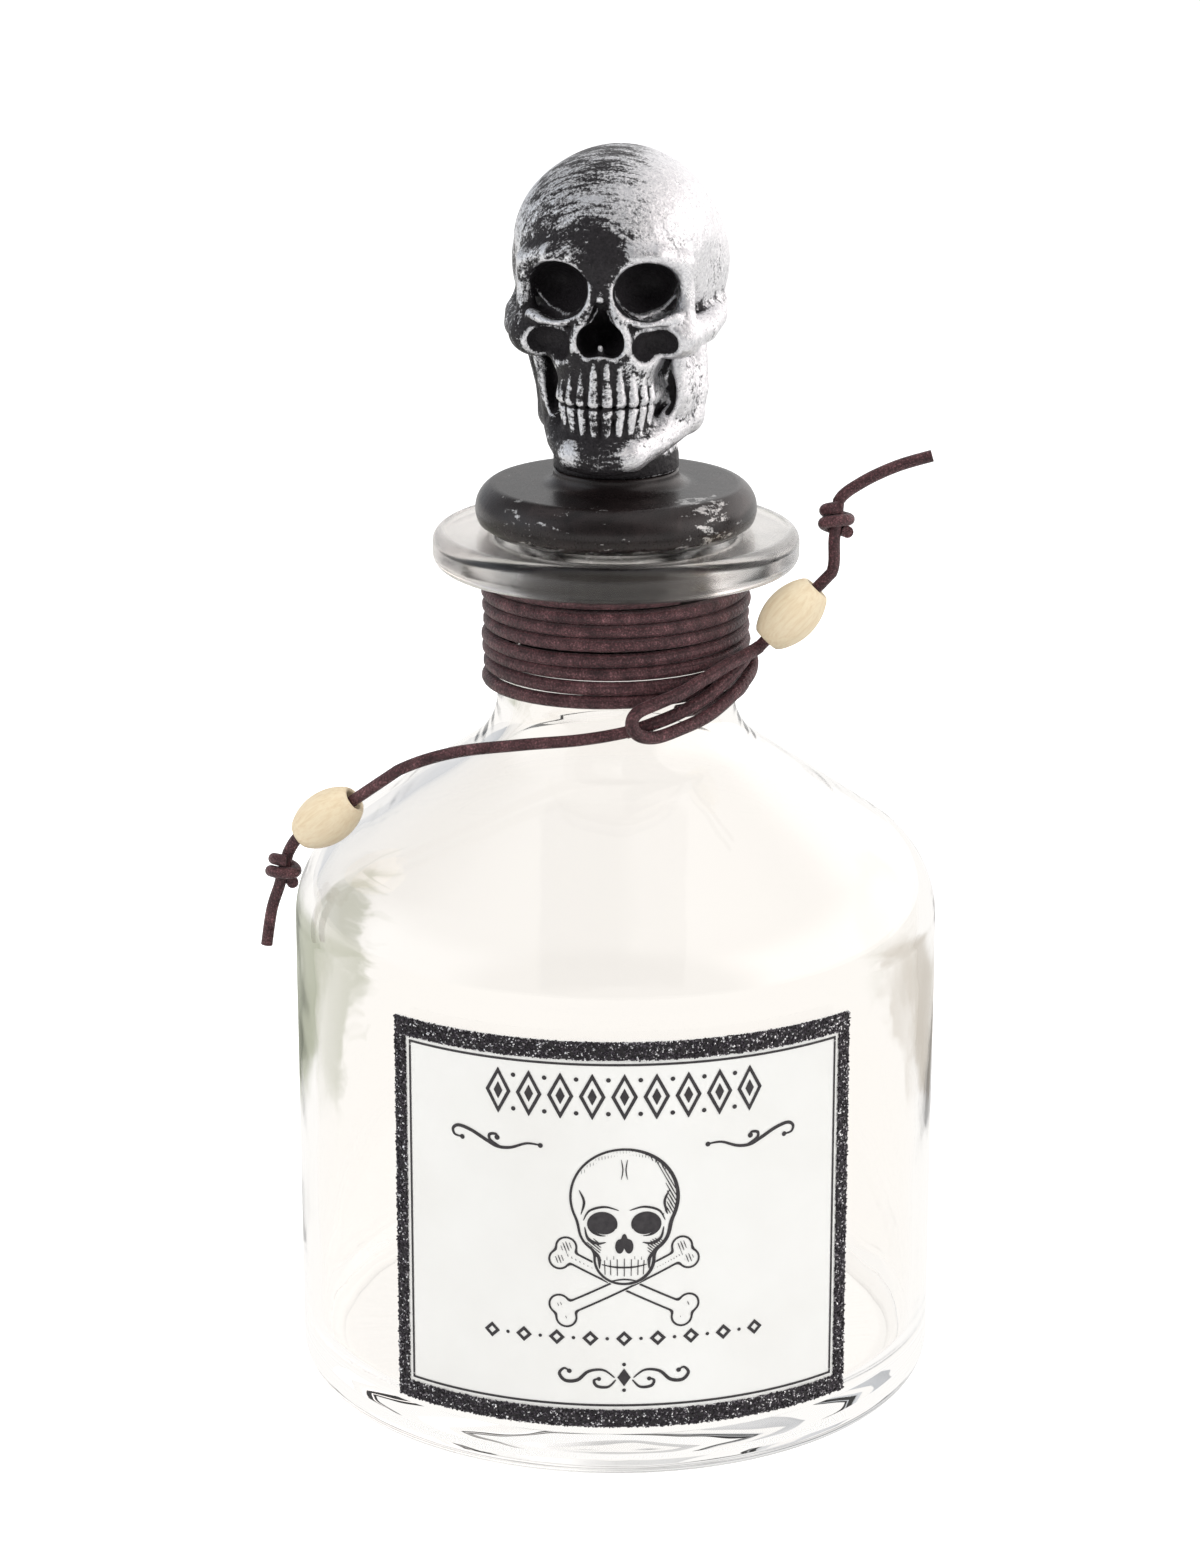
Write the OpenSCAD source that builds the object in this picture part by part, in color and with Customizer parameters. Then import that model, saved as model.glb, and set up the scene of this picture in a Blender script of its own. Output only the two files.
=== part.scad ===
// Poison bottle: a blown glass bottle with a flared lip, a cast skull stopper on a sealed plug,
// a paper label with a raised grit border, and a waxed cord wound and tied round the neck with
// a wooden bead on each tail. Z is up, the bottle stands on z = 0 and its label faces -Y.

/* [Bottle] */
// Outside diameter of the body
body_d = 110; // [96:1:124]
// Height at which the straight side ends and the shoulder starts to round over
shoulder_z = 82; // [80:1:92]
// Radius of the rounded corner between side and shoulder
shoulder_r = 17; // [12:1:20]
// Slope of the shoulder, from the horizontal
shoulder_slope = 35; // [30:1:40]
// Outside diameter of the neck
neck_d = 40.2; // [38:0.2:44]
// Length of the straight neck, from the shoulder's line to the lip
neck_len = 28; // [27.8:0.2:34]
// Fillet between neck and shoulder
neck_fillet = 11; // [8:0.5:12]
// Diameter of the flared lip
lip_d = 61.6; // [58:0.2:66]
// Thickness of the lip
lip_t = 6.2; // [5:0.2:7]
// Rounding of the lip's edge, above and below
lip_edge_r = 2.2; // [1.6:0.1:2.5]
// Wall of the body
wall = 3; // [2.4:0.1:4]
// Wall of the neck
neck_wall = 3; // [2.4:0.1:3.6]
// Thickness of the glass base
base_t = 6.5; // [5:0.5:8]
// Radius of the heel, where side meets base
heel_r = 5; // [4:0.5:6]
// Radius of the corner inside, between floor and side
floor_r = 6; // [4:0.5:8]
// Height of the shallow hollow under the base
punt_h = 1.5; // [1:0.5:3]
// Diameter of that hollow
punt_d = 76; // [64:1:80]
// Rounding at the mouth of the bore
mouth_r = 1.2; // [0.8:0.1:1.6]

/* [Stopper] */
// Diameter of the rounded disc under the skull
disc_d = 47.2; // [44:0.2:52]
// Thickness of the disc at its edge
disc_t = 7.6; // [6.6:0.2:9]
// Height of the low collar on which the skull stands
collar_h = 2.6; // [2:0.2:4]
// Diameter of that collar
collar_d = 21; // [19:0.5:22]
// Length of the plug inside the neck
plug_len = 22; // [18:1:24]
// Gap between the plug and the neck, all round
plug_gap = 1; // [0.8:0.1:1.2]
// Gap between the seal rings and the neck, all round
seal_gap = 0.08; // [0.05:0.01:0.1]
// Height of a seal ring
seal_h = 2.4; // [2:0.2:3]
// Diameter of the dowel that pins skull, disc and plug together
dowel_d = 6; // [5:0.5:7]
// Length of the dowel above and below the disc
dowel_end = 9; // [7:1:10]
// Height of the chin above the collar
chin_lift = 2.2; // [1.6:0.1:3]
// Turn of the skull towards its right
skull_turn = 8; // [-20:1:20]
// Height of the skull from chin to crown
skull_h = 51; // [48:0.5:54]

/* [Label] */
// Height of the label
label_h = 67.4; // [60:0.2:68]
// Angle that the label covers round the body
label_angle = 84; // [76:1:88]
// Height of the label's lower edge above the table
label_z = 10.5; // [9:0.5:12]
// Turn of the label from the front, towards +X
label_turn = 1.3; // [-3:0.1:3]
// Thickness of the paper
label_t = 0.3; // [0.2:0.05:0.5]
// Width of the grit border along the top and bottom
border_w = 3.1; // [2:0.1:4]
// Width of the grit border along the sides
border_side_w = 2.3; // [1.8:0.1:3]
// Height of the grit above the paper
border_t = 0.7; // [0.5:0.1:1]
// Height of the print above the paper
ink_t = 0.08; // [0.06:0.01:0.12]
// Width of the printed emblem across its crossed bones
emblem_w = 27; // [22:0.5:30]
// Height of the emblem's middle above the label's lower edge
emblem_z = 35; // [32:0.5:38]
// Width of a row of printed diamonds
row_w = 44; // [36:1:48]

/* [Cord] */
// Diameter of the waxed cord
cord_d = 2; // [1.8:0.05:2]
// Rise of the winding in one turn
wind_pitch = 2.42; // [2.42:0.01:2.5]
// Number of turns round the neck
wind_turns = 8; // [5:1:8]
// Gap between the top turn and the underside of the lip
wind_gap = 0.4; // [0.3:0.1:1]
// Length of a wooden bead
bead_len = 12; // [11:0.5:13]
// Diameter of a wooden bead
bead_d = 9; // [8.6:0.2:9.4]
// Diameter of the hole through a bead
bead_bore = 3.4; // [3.2:0.1:3.8]

/* [Hidden] */

// Radii and heights of the glass
body_r = body_d / 2;
neck_r = neck_d / 2;
bore_r = neck_r - neck_wall;
lip_r = lip_d / 2;
punt_r = punt_d / 2;
slope_out = [sin(shoulder_slope), cos(shoulder_slope)];
shoulder_mid = [body_r - shoulder_r, shoulder_z];
shoulder_edge = shoulder_mid + shoulder_r * slope_out;
inner_edge = shoulder_edge - wall * slope_out;
// Heights where the lines of the slope meet the neck, outside and inside
neck_z = shoulder_edge[1] + (shoulder_edge[0] - neck_r) * tan(shoulder_slope);
bore_z = inner_edge[1] + (inner_edge[0] - bore_r) * tan(shoulder_slope);
lip_z = neck_z + neck_len;
mouth_z = lip_z + lip_t;
// Fillet under the lip
lip_fillet = 1.6;

// Stopper, from the mouth upwards, with the disc resting just off the lip
rest_gap = 0.05;
disc_z = mouth_z + rest_gap;
disc_r = disc_d / 2;
disc_top = disc_z + disc_t;
skull_z = disc_top + collar_h;
// The skull's forms below are drawn 51 mm tall
skull_scale = skull_h / 51;
collar_r = collar_d / 2;
plug_r = bore_r - plug_gap;
plug_taper = 1.5;
dowel_r = dowel_d / 2;
// Hair gap of a glued joint
glue = 0.02;
// The seal rings turn in grooves of this depth, with a running gap all round
groove_depth = 2.4;
groove_gap = 0.1;
seal_r = bore_r - seal_gap;
groove_r = plug_r - groove_depth;
// Depths of the seal rings' middles below the mouth
UPPER_SEAL = 6;
LOWER_SEAL = 13;

// Layers of the label, from the glass outwards
paper_in = body_r + glue;
paper_out = paper_in + label_t;
print_in = paper_out + glue / 2;
print_out = print_in + ink_t;
border_out = print_in + border_t;
// The printed line lies this far inside the grit border
line_gap = 0.6;
line_w = 0.4;
row_count = 9;
upper_row_z = label_h * 0.86;
lower_row_z = label_h * 0.235;
small_row_z = label_h * 0.14;
small_row_count = 5;

// Cord on the neck
cord_r = cord_d / 2;
wind_steps = 24;
// The tube's flat chords cut inside its circle, so the circle is widened to clear the glass
hair = 0.06;
wind_r = (neck_r + cord_r + hair) / cos(180 / wind_steps);
wind_low = lip_z - wind_gap - cord_r - wind_pitch * wind_turns;
wind_start = -62;
// Turns, rise and circle of a knot coiled round a tail
knot_turns = 1.5;
knot_rise = cord_d + 0.45;
knot_r = (2 * cord_r + hair) / cos(180 / wind_steps);

// Route of the tails and the tie between them, for a shoulder that meets the neck at this height
route_neck_z = 115.3;
ROUTE = [
  [-59.2, -12.8, 79.8], [-58.2, -12.6, 86], [-56.8, -12.8, 90.4], [-55.2, -13.4, 96.2], [-53.4, -13.9, 99.2],
  [-36.2, -18.9, 112.4], [-27, -21.4, 116.2], [-16, -23.1, 118], [-6, -23.6, 119], [1.6, -23.8, 120.4],
  [6.6, -22.9, 121.8], [10.8, -21.3, 123.2], [15, -18.5, 125], [18.2, -15.4, 127], [20.8, -12.2, 129],
  [22, -9.4, 129.9], [22.7, -8.2, 128.7], [22.5, -9.6, 127.1], [21.2, -13.2, 126], [18.5, -17, 124.1],
  [14.9, -20, 122], [10.6, -22.8, 120.7], [6.5, -24.8, 119.8], [3.6, -26.2, 120.6], [2.5, -26.6, 122.6],
  [3.5, -26, 124.4], [6.8, -24.6, 125.6], [10.8, -22.4, 126.8], [15, -19.5, 128.6], [18.4, -16.8, 130],
  [21.2, -14.4, 130.9], [23.8, -12.6, 132], [35.6, -11.8, 144.4], [36, -11.4, 150.2], [36.6, -11.2, 156.4],
  [40.4, -11.4, 159.6], [46, -11.8, 162.4], [51.8, -12, 164.2]
];
// Points of the route at which a straight stretch starts: knot, bead, bead and knot
LEFT_KNOT = 2;
LEFT_RUN = 4;
RIGHT_RUN = 31;
RIGHT_KNOT = 33;
STRAIGHTS = [LEFT_KNOT, LEFT_RUN, RIGHT_RUN, RIGHT_KNOT];
// Points at which the left tail becomes the tie, and the tie the right tail
TIE_START = 9;
TIE_END = 31;
bend_steps = 2;
// Room between a bead and the stop at its end of the straight stretch
left_stop = 0.6;
right_stop = 1.6;
bead_r = bead_d / 2;
bead_bore_r = bead_bore / 2;

function unit(v) = v / norm(v);
// Points of an arc about c, from angle a to angle b
function arc(c, r, a, b, n = 8) = [
  for (i = [0:n])
    let (turn = a + (b - a) * i / n) c + r * [cos(turn), sin(turn)]
];
// The hollow curve between the shoulder's slope and an upright at radius x that it meets at height z
function foot(x, z, r) = arc(
  [x + r, z + r * (1 - sin(shoulder_slope)) / cos(shoulder_slope)],
  r, 270 - shoulder_slope, 180, 10
);
// A point between b and c on the smooth curve through a, b, c and d
function curve(a, b, c, d, t) =
  0.5 * (2 * b + (c - a) * t + (2 * a - 5 * b + 4 * c - d) * t * t + (3 * b - a - 3 * c + d) * t * t * t);
function straight(i) = len(search(i, STRAIGHTS)) > 0;
// A bend that meets a straight stretch leaves it in line
function before(p, i) =
  straight(i - 1) ? p[i] - unit(p[i] - p[i - 1]) * norm(p[i + 1] - p[i]) : p[max(i - 1, 0)];
function after(p, i) =
  straight(i + 1) ? p[i + 1] + unit(p[i + 2] - p[i + 1]) * norm(p[i + 1] - p[i]) : p[min(i + 2, len(p) - 1)];
function between(p, i, t) =
  straight(i) ? p[i] + (p[i + 1] - p[i]) * t : curve(before(p, i), p[i], p[i + 1], after(p, i), t);
function bent(p) = concat(
  [for (i = [0:len(p) - 2], k = [0:bend_steps - 1]) between(p, i, k / bend_steps)],
  [p[len(p) - 1]]
);
function routed() = bent([for (p = ROUTE) p + [0, 0, neck_z - route_neck_z]]);
function stop_point(i) = routed()[i * bend_steps];

// A helix about the Z axis, with both ends running straight for one diameter of the cord
function coil(r, rise, turns, start) =
  let (
    n = turns * wind_steps,
    p = [for (i = [0:n]) [
      r * cos(start + 360 * i / wind_steps), r * sin(start + 360 * i / wind_steps), rise * i / wind_steps
    ]]
  )
  concat([p[0] + cord_d * unit(p[0] - p[1])], p, [p[n] + cord_d * unit(p[n] - p[n - 1])]);
// Least gap between turns of a tube, leaving out the half turn next to each point
function least_gap(p) =
  min([for (i = [1:len(p) - 2], j = [i + wind_steps / 2:1:len(p) - 2]) norm(p[i] - p[j])]) - cord_d;

// The direction of a line of points at point i
function heading(p, i) = unit(p[min(i + 1, len(p) - 1)] - p[max(i - 1, 0)]);
function ring(p, dir, sides) =
  let (u = unit(cross(dir, [0, 0, 1])), v = cross(u, dir))
  [for (s = [0:sides - 1]) p + cord_r * (cos(360 * s / sides) * u + sin(360 * s / sides) * v)];

// A closed tube along points first to last of a line
module tube(p, first, last, sides) {
  n = last - first + 1;
  points = [for (i = [first:last]) each ring(p[i], heading(p, i), sides)];
  walls = [
    for (i = [0:n - 2], s = [0:sides - 1])
      let (a = i * sides + s, b = i * sides + (s + 1) % sides)
      each [[a, b + sides, a + sides], [a, b, b + sides]]
  ];
  start_cap = [for (s = [1:sides - 2]) [0, s + 1, s]];
  end_cap = [for (s = [1:sides - 2]) [(n - 1) * sides, (n - 1) * sides + s, (n - 1) * sides + s + 1]];
  polyhedron(points, concat(walls, start_cap, end_cap), convexity = 10);
}

module glass_bottle() {
  outside = concat(
    arc([0, punt_h - punt_ball()], punt_ball(), 90, 90 - asin(punt_r / punt_ball()), 6),
    arc([body_r - heel_r, heel_r], heel_r, -90, 0),
    arc(shoulder_mid, shoulder_r, 0, 90 - shoulder_slope, 10),
    foot(neck_r, neck_z, neck_fillet),
    arc([neck_r + lip_fillet, lip_z - lip_fillet], lip_fillet, 180, 90, 5),
    arc([lip_r - lip_edge_r, lip_z + lip_edge_r], lip_edge_r, -90, 0, 6),
    arc([lip_r - lip_edge_r, mouth_z - lip_edge_r], lip_edge_r, 0, 90, 6)
  );
  inside = concat(
    arc([bore_r + mouth_r, mouth_z - mouth_r], mouth_r, 90, 180, 5),
    reverse(foot(bore_r, bore_z, neck_fillet + wall)),
    arc(shoulder_mid, shoulder_r - wall, 90 - shoulder_slope, 0, 10),
    arc([body_r - wall - floor_r, base_t + floor_r], floor_r, 0, -90),
    [[0, base_t]]
  );
  color([0.86, 0.89, 0.87, 0.35]) rotate_extrude($fn = 96) polygon(concat(outside, inside));
}
// Radius of the ball whose cap is the hollow under the base
function punt_ball() = (punt_r * punt_r + punt_h * punt_h) / (2 * punt_h);
function reverse(p) = [for (i = [len(p) - 1:-1:0]) p[i]];

// A curved sheet on the bottle's front, inset from the label's edges
module sheet(r_in, r_out, side, end) {
  turn = label_angle - 2 * side / body_r * 180 / PI;
  rotate([0, 0, -90 + label_turn - turn / 2])
    rotate_extrude(angle = turn, $fn = 180)
      translate([r_in, label_z + end]) square([r_out - r_in, label_h - 2 * end]);
}
module sheet_frame(r_in, r_out, side, end, side_w, end_w) {
  difference() {
    sheet(r_in, r_out, side, end);
    sheet(r_in - 1, r_out + 1, side + side_w, end + end_w);
  }
}

module label_paper() {
  color([0.95, 0.94, 0.9]) sheet(paper_in, paper_out, 0, 0);
}
module label_border() {
  color([0.13, 0.1, 0.15]) sheet_frame(print_in, border_out, 0, 0, border_side_w, border_w);
}

module diamonds(count, width, size) {
  for (i = [0:count - 1])
    translate([width * (i / (count - 1) - 0.5), 0]) rotate(45) square(size, center = true);
}
module bone() {
  length = emblem_w / 2;
  knob = emblem_w * 0.055;
  square([2 * length - 4 * knob, knob * 1.5], center = true);
  for (x = [-1, 1], y = [-1, 1]) translate([x * (length - 2 * knob), y * knob * 0.8]) circle(knob, $fn = 24);
}
module emblem() {
  head = emblem_w * 0.28;
  jaw = emblem_w * 0.17;
  for (a = [-28, 28]) translate([0, -emblem_w * 0.24]) rotate(a) bone();
  difference() {
    union() {
      translate([0, emblem_w * 0.16]) circle(head, $fn = 48);
      translate([0, -emblem_w * 0.1]) square([2 * jaw, emblem_w * 0.26], center = true);
    }
    for (x = [-1, 1]) translate([x * head * 0.44, emblem_w * 0.09]) circle(head * 0.27, $fn = 24);
    translate([0, -emblem_w * 0.03]) circle(head * 0.16, $fn = 3);
  }
}
module label_print() {
  color([0.12, 0.12, 0.13]) {
    sheet_frame(print_in, print_out, border_side_w + line_gap, border_w + line_gap, line_w, line_w);
    rotate([0, 0, label_turn]) intersection() {
      rotate_extrude($fn = 180) translate([print_in, 0]) square([ink_t, label_z + label_h]);
      translate([0, 0, label_z]) rotate([90, 0, 0]) linear_extrude(body_r + 2 * border_t + label_t) {
        translate([0, emblem_z]) emblem();
        translate([0, upper_row_z]) diamonds(row_count, row_w, 3);
        translate([0, lower_row_z]) diamonds(row_count, row_w, 2);
        translate([0, small_row_z]) diamonds(small_row_count, row_w / 2, 1.4);
      }
    }
  }
}

module cord_winding() {
  turns = coil(wind_r, wind_pitch, wind_turns, wind_start);
  echo(str("Least gap of the winding to itself, in millimetres: ", least_gap(turns)));
  color([0.35, 0.23, 0.24]) translate([0, 0, wind_low]) tube(turns, 0, len(turns) - 1, 6);
}
module tie_knot() {
  color([0.35, 0.23, 0.24]) tube(routed(), TIE_START * bend_steps, TIE_END * bend_steps, 8);
}
module left_tail() {
  color([0.35, 0.23, 0.24]) tube(routed(), 0, TIE_START * bend_steps, 8);
}
module right_tail() {
  color([0.35, 0.23, 0.24]) tube(routed(), TIE_END * bend_steps, len(routed()) - 1, 8);
}

// Carries its children from the origin to a point at the middle of two, with Z from a to b
module along(a, b, shift = 0) {
  dir = unit(b - a);
  translate(a + (b - a) / 2 + shift * dir) rotate([0, acos(dir[2]), atan2(dir[1], dir[0])]) children();
}
module end_knot(i) {
  turns = coil(knot_r, knot_rise, knot_turns, 0);
  echo(str("Least gap of the end knot to itself, in millimetres: ", least_gap(turns)));
  color([0.35, 0.23, 0.24])
    along(stop_point(i), stop_point(i + 1))
      translate([0, 0, -knot_rise * knot_turns / 2]) tube(turns, 0, len(turns) - 1, 6);
}
module left_end_knot() {
  end_knot(LEFT_KNOT);
}
module right_end_knot() {
  end_knot(RIGHT_KNOT);
}

// A wooden bead with its bore along Z, its middle on the origin
module bead() {
  end_r = bead_bore_r + 0.7;
  // The side is an arc through the two ends and the widest point
  rise = bead_r - end_r;
  side_r = (bead_len * bead_len / 4 + rise * rise) / (2 * rise);
  half = asin(bead_len / 2 / side_r);
  color([0.87, 0.78, 0.6]) difference() {
    rotate_extrude($fn = 64) polygon(concat(
      [[0, -bead_len / 2]],
      arc([bead_r - side_r, 0], side_r, -half, half, 14),
      [[0, bead_len / 2]]
    ));
    cylinder(h = bead_len + 2, r = bead_bore_r, center = true, $fn = 48);
  }
}
// A bead resting at a stop, its length along the straight stretch from a towards b
module bead_at_stop(a, b, stop) {
  along(a, b, bead_len / 2 + stop - norm(b - a) / 2) bead();
}
module left_bead() {
  bead_at_stop(stop_point(LEFT_RUN), stop_point(LEFT_RUN + 1), left_stop);
}
module right_bead() {
  bead_at_stop(stop_point(RIGHT_RUN), stop_point(RIGHT_RUN + 1), right_stop);
}

module seal_ring(depth) {
  color([0.75, 0.77, 0.76]) translate([0, 0, mouth_z - depth]) difference() {
    cylinder(h = seal_h, r = seal_r, center = true, $fn = 96);
    cylinder(h = seal_h + 2, r = groove_r + groove_gap, center = true, $fn = 96);
  }
}
module upper_seal_ring() {
  seal_ring(UPPER_SEAL);
}
module lower_seal_ring() {
  seal_ring(LOWER_SEAL);
}

module plug() {
  half = seal_h / 2 + groove_gap;
  function groove(depth) = [
    [plug_r, disc_z - depth - half], [groove_r, disc_z - depth - half],
    [groove_r, disc_z - depth + half], [plug_r, disc_z - depth + half]
  ];
  low = disc_z - plug_len;
  profile = concat(
    [[0, low], [plug_r - plug_taper, low], [plug_r, low + 2 * plug_taper]],
    groove(LOWER_SEAL + rest_gap), groove(UPPER_SEAL + rest_gap),
    [[plug_r, disc_z - glue], [0, disc_z - glue]]
  );
  color([0.2, 0.19, 0.19]) difference() {
    rotate_extrude($fn = 96) polygon(profile);
    translate([0, 0, disc_z - dowel_end - glue]) cylinder(h = dowel_end + 1, r = dowel_r + glue, $fn = 32);
  }
}
module dowel() {
  color("silver") translate([0, 0, disc_z - dowel_end])
    cylinder(h = skull_z - disc_z + 2 * dowel_end, r = dowel_r, $fn = 32);
}

module stopper_disc() {
  // The pebble's edge is an arc that bulges past its flat underside
  under_r = disc_r - disc_t * 0.3;
  color([0.12, 0.11, 0.11]) difference() {
    rotate_extrude($fn = 96) polygon(concat(
      [[0, disc_z], [under_r, disc_z]],
      arc([disc_r - disc_t * 0.62, disc_z + disc_t * 0.45], disc_t * 0.62, -28, 62, 10),
      [[disc_r * 0.66, disc_top]],
      [[collar_r, disc_top], [collar_r, skull_z - glue], [0, skull_z - glue]]
    ));
    translate([0, 0, disc_z - 1]) cylinder(h = disc_t + collar_h + 2, r = dowel_r + glue, $fn = 32);
  }
}

// Distances from point p to an ellipsoid, to a rod of changing radius, and blends of distances
function egg(p, c, r) =
  let (q = p - c, a = norm([q[0] / r[0], q[1] / r[1], q[2] / r[2]]))
  a * (a - 1) / (norm([q[0] / r[0] / r[0], q[1] / r[1] / r[1], q[2] / r[2] / r[2]]) + 1e-6);
function rod(p, a, b, ra, rb) =
  let (d = b - a, h = max(0, min(1, (p - a) * d / (d * d))))
  norm(p - a - h * d) - ra - (rb - ra) * h;
function join(a, b, k) = let (h = max(k - abs(a - b), 0) / k) min(a, b) - h * h * k / 4;
function carve(a, b, k) = -join(-a, b, k);
function join_all(list, k, i = 0) = i == len(list) - 1 ? list[i] : join(list[i], join_all(list, k, i + 1), k);

// Half of a skull, 51 mm from chin to crown: x is the distance from its middle, -Y is its front
function cranium(p) = carve(
  join_all([
    egg(p, [0, 4, 33.2], [17.9, 21, 17.9]), egg(p, [0, -5.5, 38], [14.8, 12.6, 11.6]),
    egg(p, [0, 14, 24], [13.5, 11, 10]), egg(p, [0, -3, 19], [12, 13, 9])
  ], 4),
  egg(p, [20, -8.5, 31.5], [4.6, 8, 8.6]), 2
);
function cheek(p) = join_all([
  egg(p, [0, -12.2, 19.5], [9.4, 7.2, 9]), egg(p, [11.6, -12.2, 23.4], [5.4, 4.4, 4]),
  rod(p, [13.4, -10.8, 23.2], [16.8, 2, 24], 3, 2.6), rod(p, [12.9, -12.4, 24.5], [12.9, -12.8, 35], 2.4, 2.4)
], 2);
function brow(p) = join(
  rod(p, [2, -16.6, 35.8], [8.5, -16.4, 37.4], 2.4, 2.4),
  rod(p, [8.5, -16.4, 37.4], [13, -12.6, 35], 2.4, 2.2), 1
);
function nose(p) = join(
  rod(p, [0, -17.2, 34.6], [0, -20, 28.8], 2.6, 1.6), rod(p, [2.6, -17.6, 33], [4.6, -18.2, 22], 1.8, 1.8), 1
);
function jaw(p) = join_all([
  rod(p, [0, -16.2, 3.8], [8.6, -12.4, 4.2], 3.8, 3.8), rod(p, [8.6, -12.4, 4.2], [12.6, -4.4, 7], 3.8, 3.4),
  rod(p, [12.6, -4, 7], [14, -0.4, 21], 3.6, 3.2), egg(p, [0, -10.6, 8], [9.6, 8.4, 6])
], 2);
function hollows(p) = min(
  egg(p, [7.9, -20, 30.4], [4.9, 10, 4.8]), egg(p, [1.7, -21.4, 22.8], [2.2, 5.6, 2.8]),
  rod(p, [0, -21.8, 23.5], [0, -22.4, 28], 2, 1.1), egg(p, [12.2, -11.4, 14], [2.8, 5, 4.4])
);
// Teeth as upright ribs round the front of the jaws, in the band that they stand in
tooth_turn = 17.4;
function teeth(p) =
  let (
    a = atan2(p[0], -12 - p[1]),
    r = norm([p[0], p[1] + 12]),
    from_bite = abs(p[2] - 11.6),
    between = pow(abs(cos(a * 180 / tooth_turn)), 6)
  )
  max(r - 8 + between * 0.9 + (from_bite < 0.6 ? 0.9 : 0), from_bite - 6.2);
function bones(p) = join(
  carve(
    join_all([cranium(p), cheek(p), brow(p), nose(p), jaw(p)], 1.6),
    hollows(p), 0.8
  ),
  p[2] < 20 && p[1] < -8 ? teeth(p) : 99, 0.5
);
// The skull with the short neck that joins it to its collar
function skull_field(p, foot_r) = join(bones(p), max(norm([p[0], p[1]]) - foot_r, p[2] - 8), 2);

// Walks down a ray from outside until it meets the skull
function walk(c, dir, t, foot_r, steps) =
  let (p = c + t * dir, d = skull_field([abs(p[0]), p[1], p[2]], foot_r))
  steps == 0 || d < 0.03 ? p : walk(c, dir, t - d * 0.9, foot_r, steps - 1);

module skull() {
  // Rays leave a point inside the brain case, closer together at the face
  half = 40;
  rows = 44;
  middle = [0, -1, 24];
  reach = 34;
  foot_r = collar_r / skull_scale;
  foot_z = -chin_lift / skull_scale;
  lowest = -62;
  highest = 86;
  function turn(i) = 180 * (0.62 * i / half + 0.38 * i * i / half / half);
  side = [for (j = [0:rows], i = [0:half])
    let (e = lowest + (highest - lowest) * j / rows, a = turn(i))
    walk(middle, [cos(e) * sin(a), -cos(e) * cos(a), sin(e)], reach, foot_r, 16)];
  // The other half mirrors the first, and the foot is a ring on the collar
  around = 2 * half;
  base = [for (i = [0:around - 1])
    let (a = i <= half ? turn(i) : -turn(around - i)) [foot_r * sin(a), -foot_r * cos(a), foot_z]];
  shell = [for (j = [0:rows], i = [0:around - 1])
    let (p = side[j * (half + 1) + (i <= half ? i : around - i)])
    i <= half ? p : [-p[0], p[1], p[2]]];
  crown = walk(middle, [0, 0, 1], reach, foot_r, 16);
  points = concat([[0, 0, foot_z]], base, shell, [crown]);
  last = len(points) - 1;
  faces = concat(
    [for (i = [0:around - 1]) [0, 1 + i, 1 + (i + 1) % around]],
    [for (j = [0:rows], i = [0:around - 1])
      let (a = 1 + j * around + i, b = 1 + j * around + (i + 1) % around)
      each [[a, b + around, b], [a, a + around, b + around]]],
    [for (i = [0:around - 1]) [last, last - around + (i + 1) % around, last - around + i]]
  );
  color([0.42, 0.42, 0.44]) difference() {
    translate([0, 0, skull_z + chin_lift]) rotate([0, 0, -skull_turn]) scale(skull_scale)
      polyhedron(points, faces);
    translate([0, 0, skull_z - 1]) cylinder(h = dowel_end + 1 + glue, r = dowel_r + glue, $fn = 32);
  }
}

glass_bottle();
label_paper();
label_border();
label_print();
cord_winding();
tie_knot();
left_tail();
left_end_knot();
right_tail();
right_end_knot();
left_bead();
right_bead();
upper_seal_ring();
lower_seal_ring();
plug();
dowel();
stopper_disc();
skull();
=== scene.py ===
# A decorative poison bottle: clear glass with a skull stopper, a grit-framed paper label and a
# waxed cord wound and tied round the neck, with a wooden bead on each tail.
from math import cos, pi, radians, sin, tan

import bmesh
import bpy
import numpy as np
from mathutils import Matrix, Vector


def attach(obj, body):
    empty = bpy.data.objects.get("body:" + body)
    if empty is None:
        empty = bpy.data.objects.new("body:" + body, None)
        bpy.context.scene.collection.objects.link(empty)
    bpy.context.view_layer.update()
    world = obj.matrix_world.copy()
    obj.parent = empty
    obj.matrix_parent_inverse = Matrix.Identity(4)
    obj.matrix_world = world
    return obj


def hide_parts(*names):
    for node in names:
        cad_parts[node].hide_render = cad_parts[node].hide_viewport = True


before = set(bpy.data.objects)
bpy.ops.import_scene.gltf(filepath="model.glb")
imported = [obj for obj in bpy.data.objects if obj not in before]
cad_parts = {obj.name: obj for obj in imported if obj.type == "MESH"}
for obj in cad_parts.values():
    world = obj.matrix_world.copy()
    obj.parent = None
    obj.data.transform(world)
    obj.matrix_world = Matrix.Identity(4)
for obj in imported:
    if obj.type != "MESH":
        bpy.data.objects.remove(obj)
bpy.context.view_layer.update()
MM = 0.001

# Camera
# The photographer stands a little above the bottle and looks slightly down on it, from straight
# in front. The long side of the picture is upright.
EYE = (-2.69, -685, 311.6)
LOOK_DOWN = 16.76
FOCAL_PIXELS = 4189.87
LONG_SIDE_PIXELS = 1557
SENSOR = 36

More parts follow.
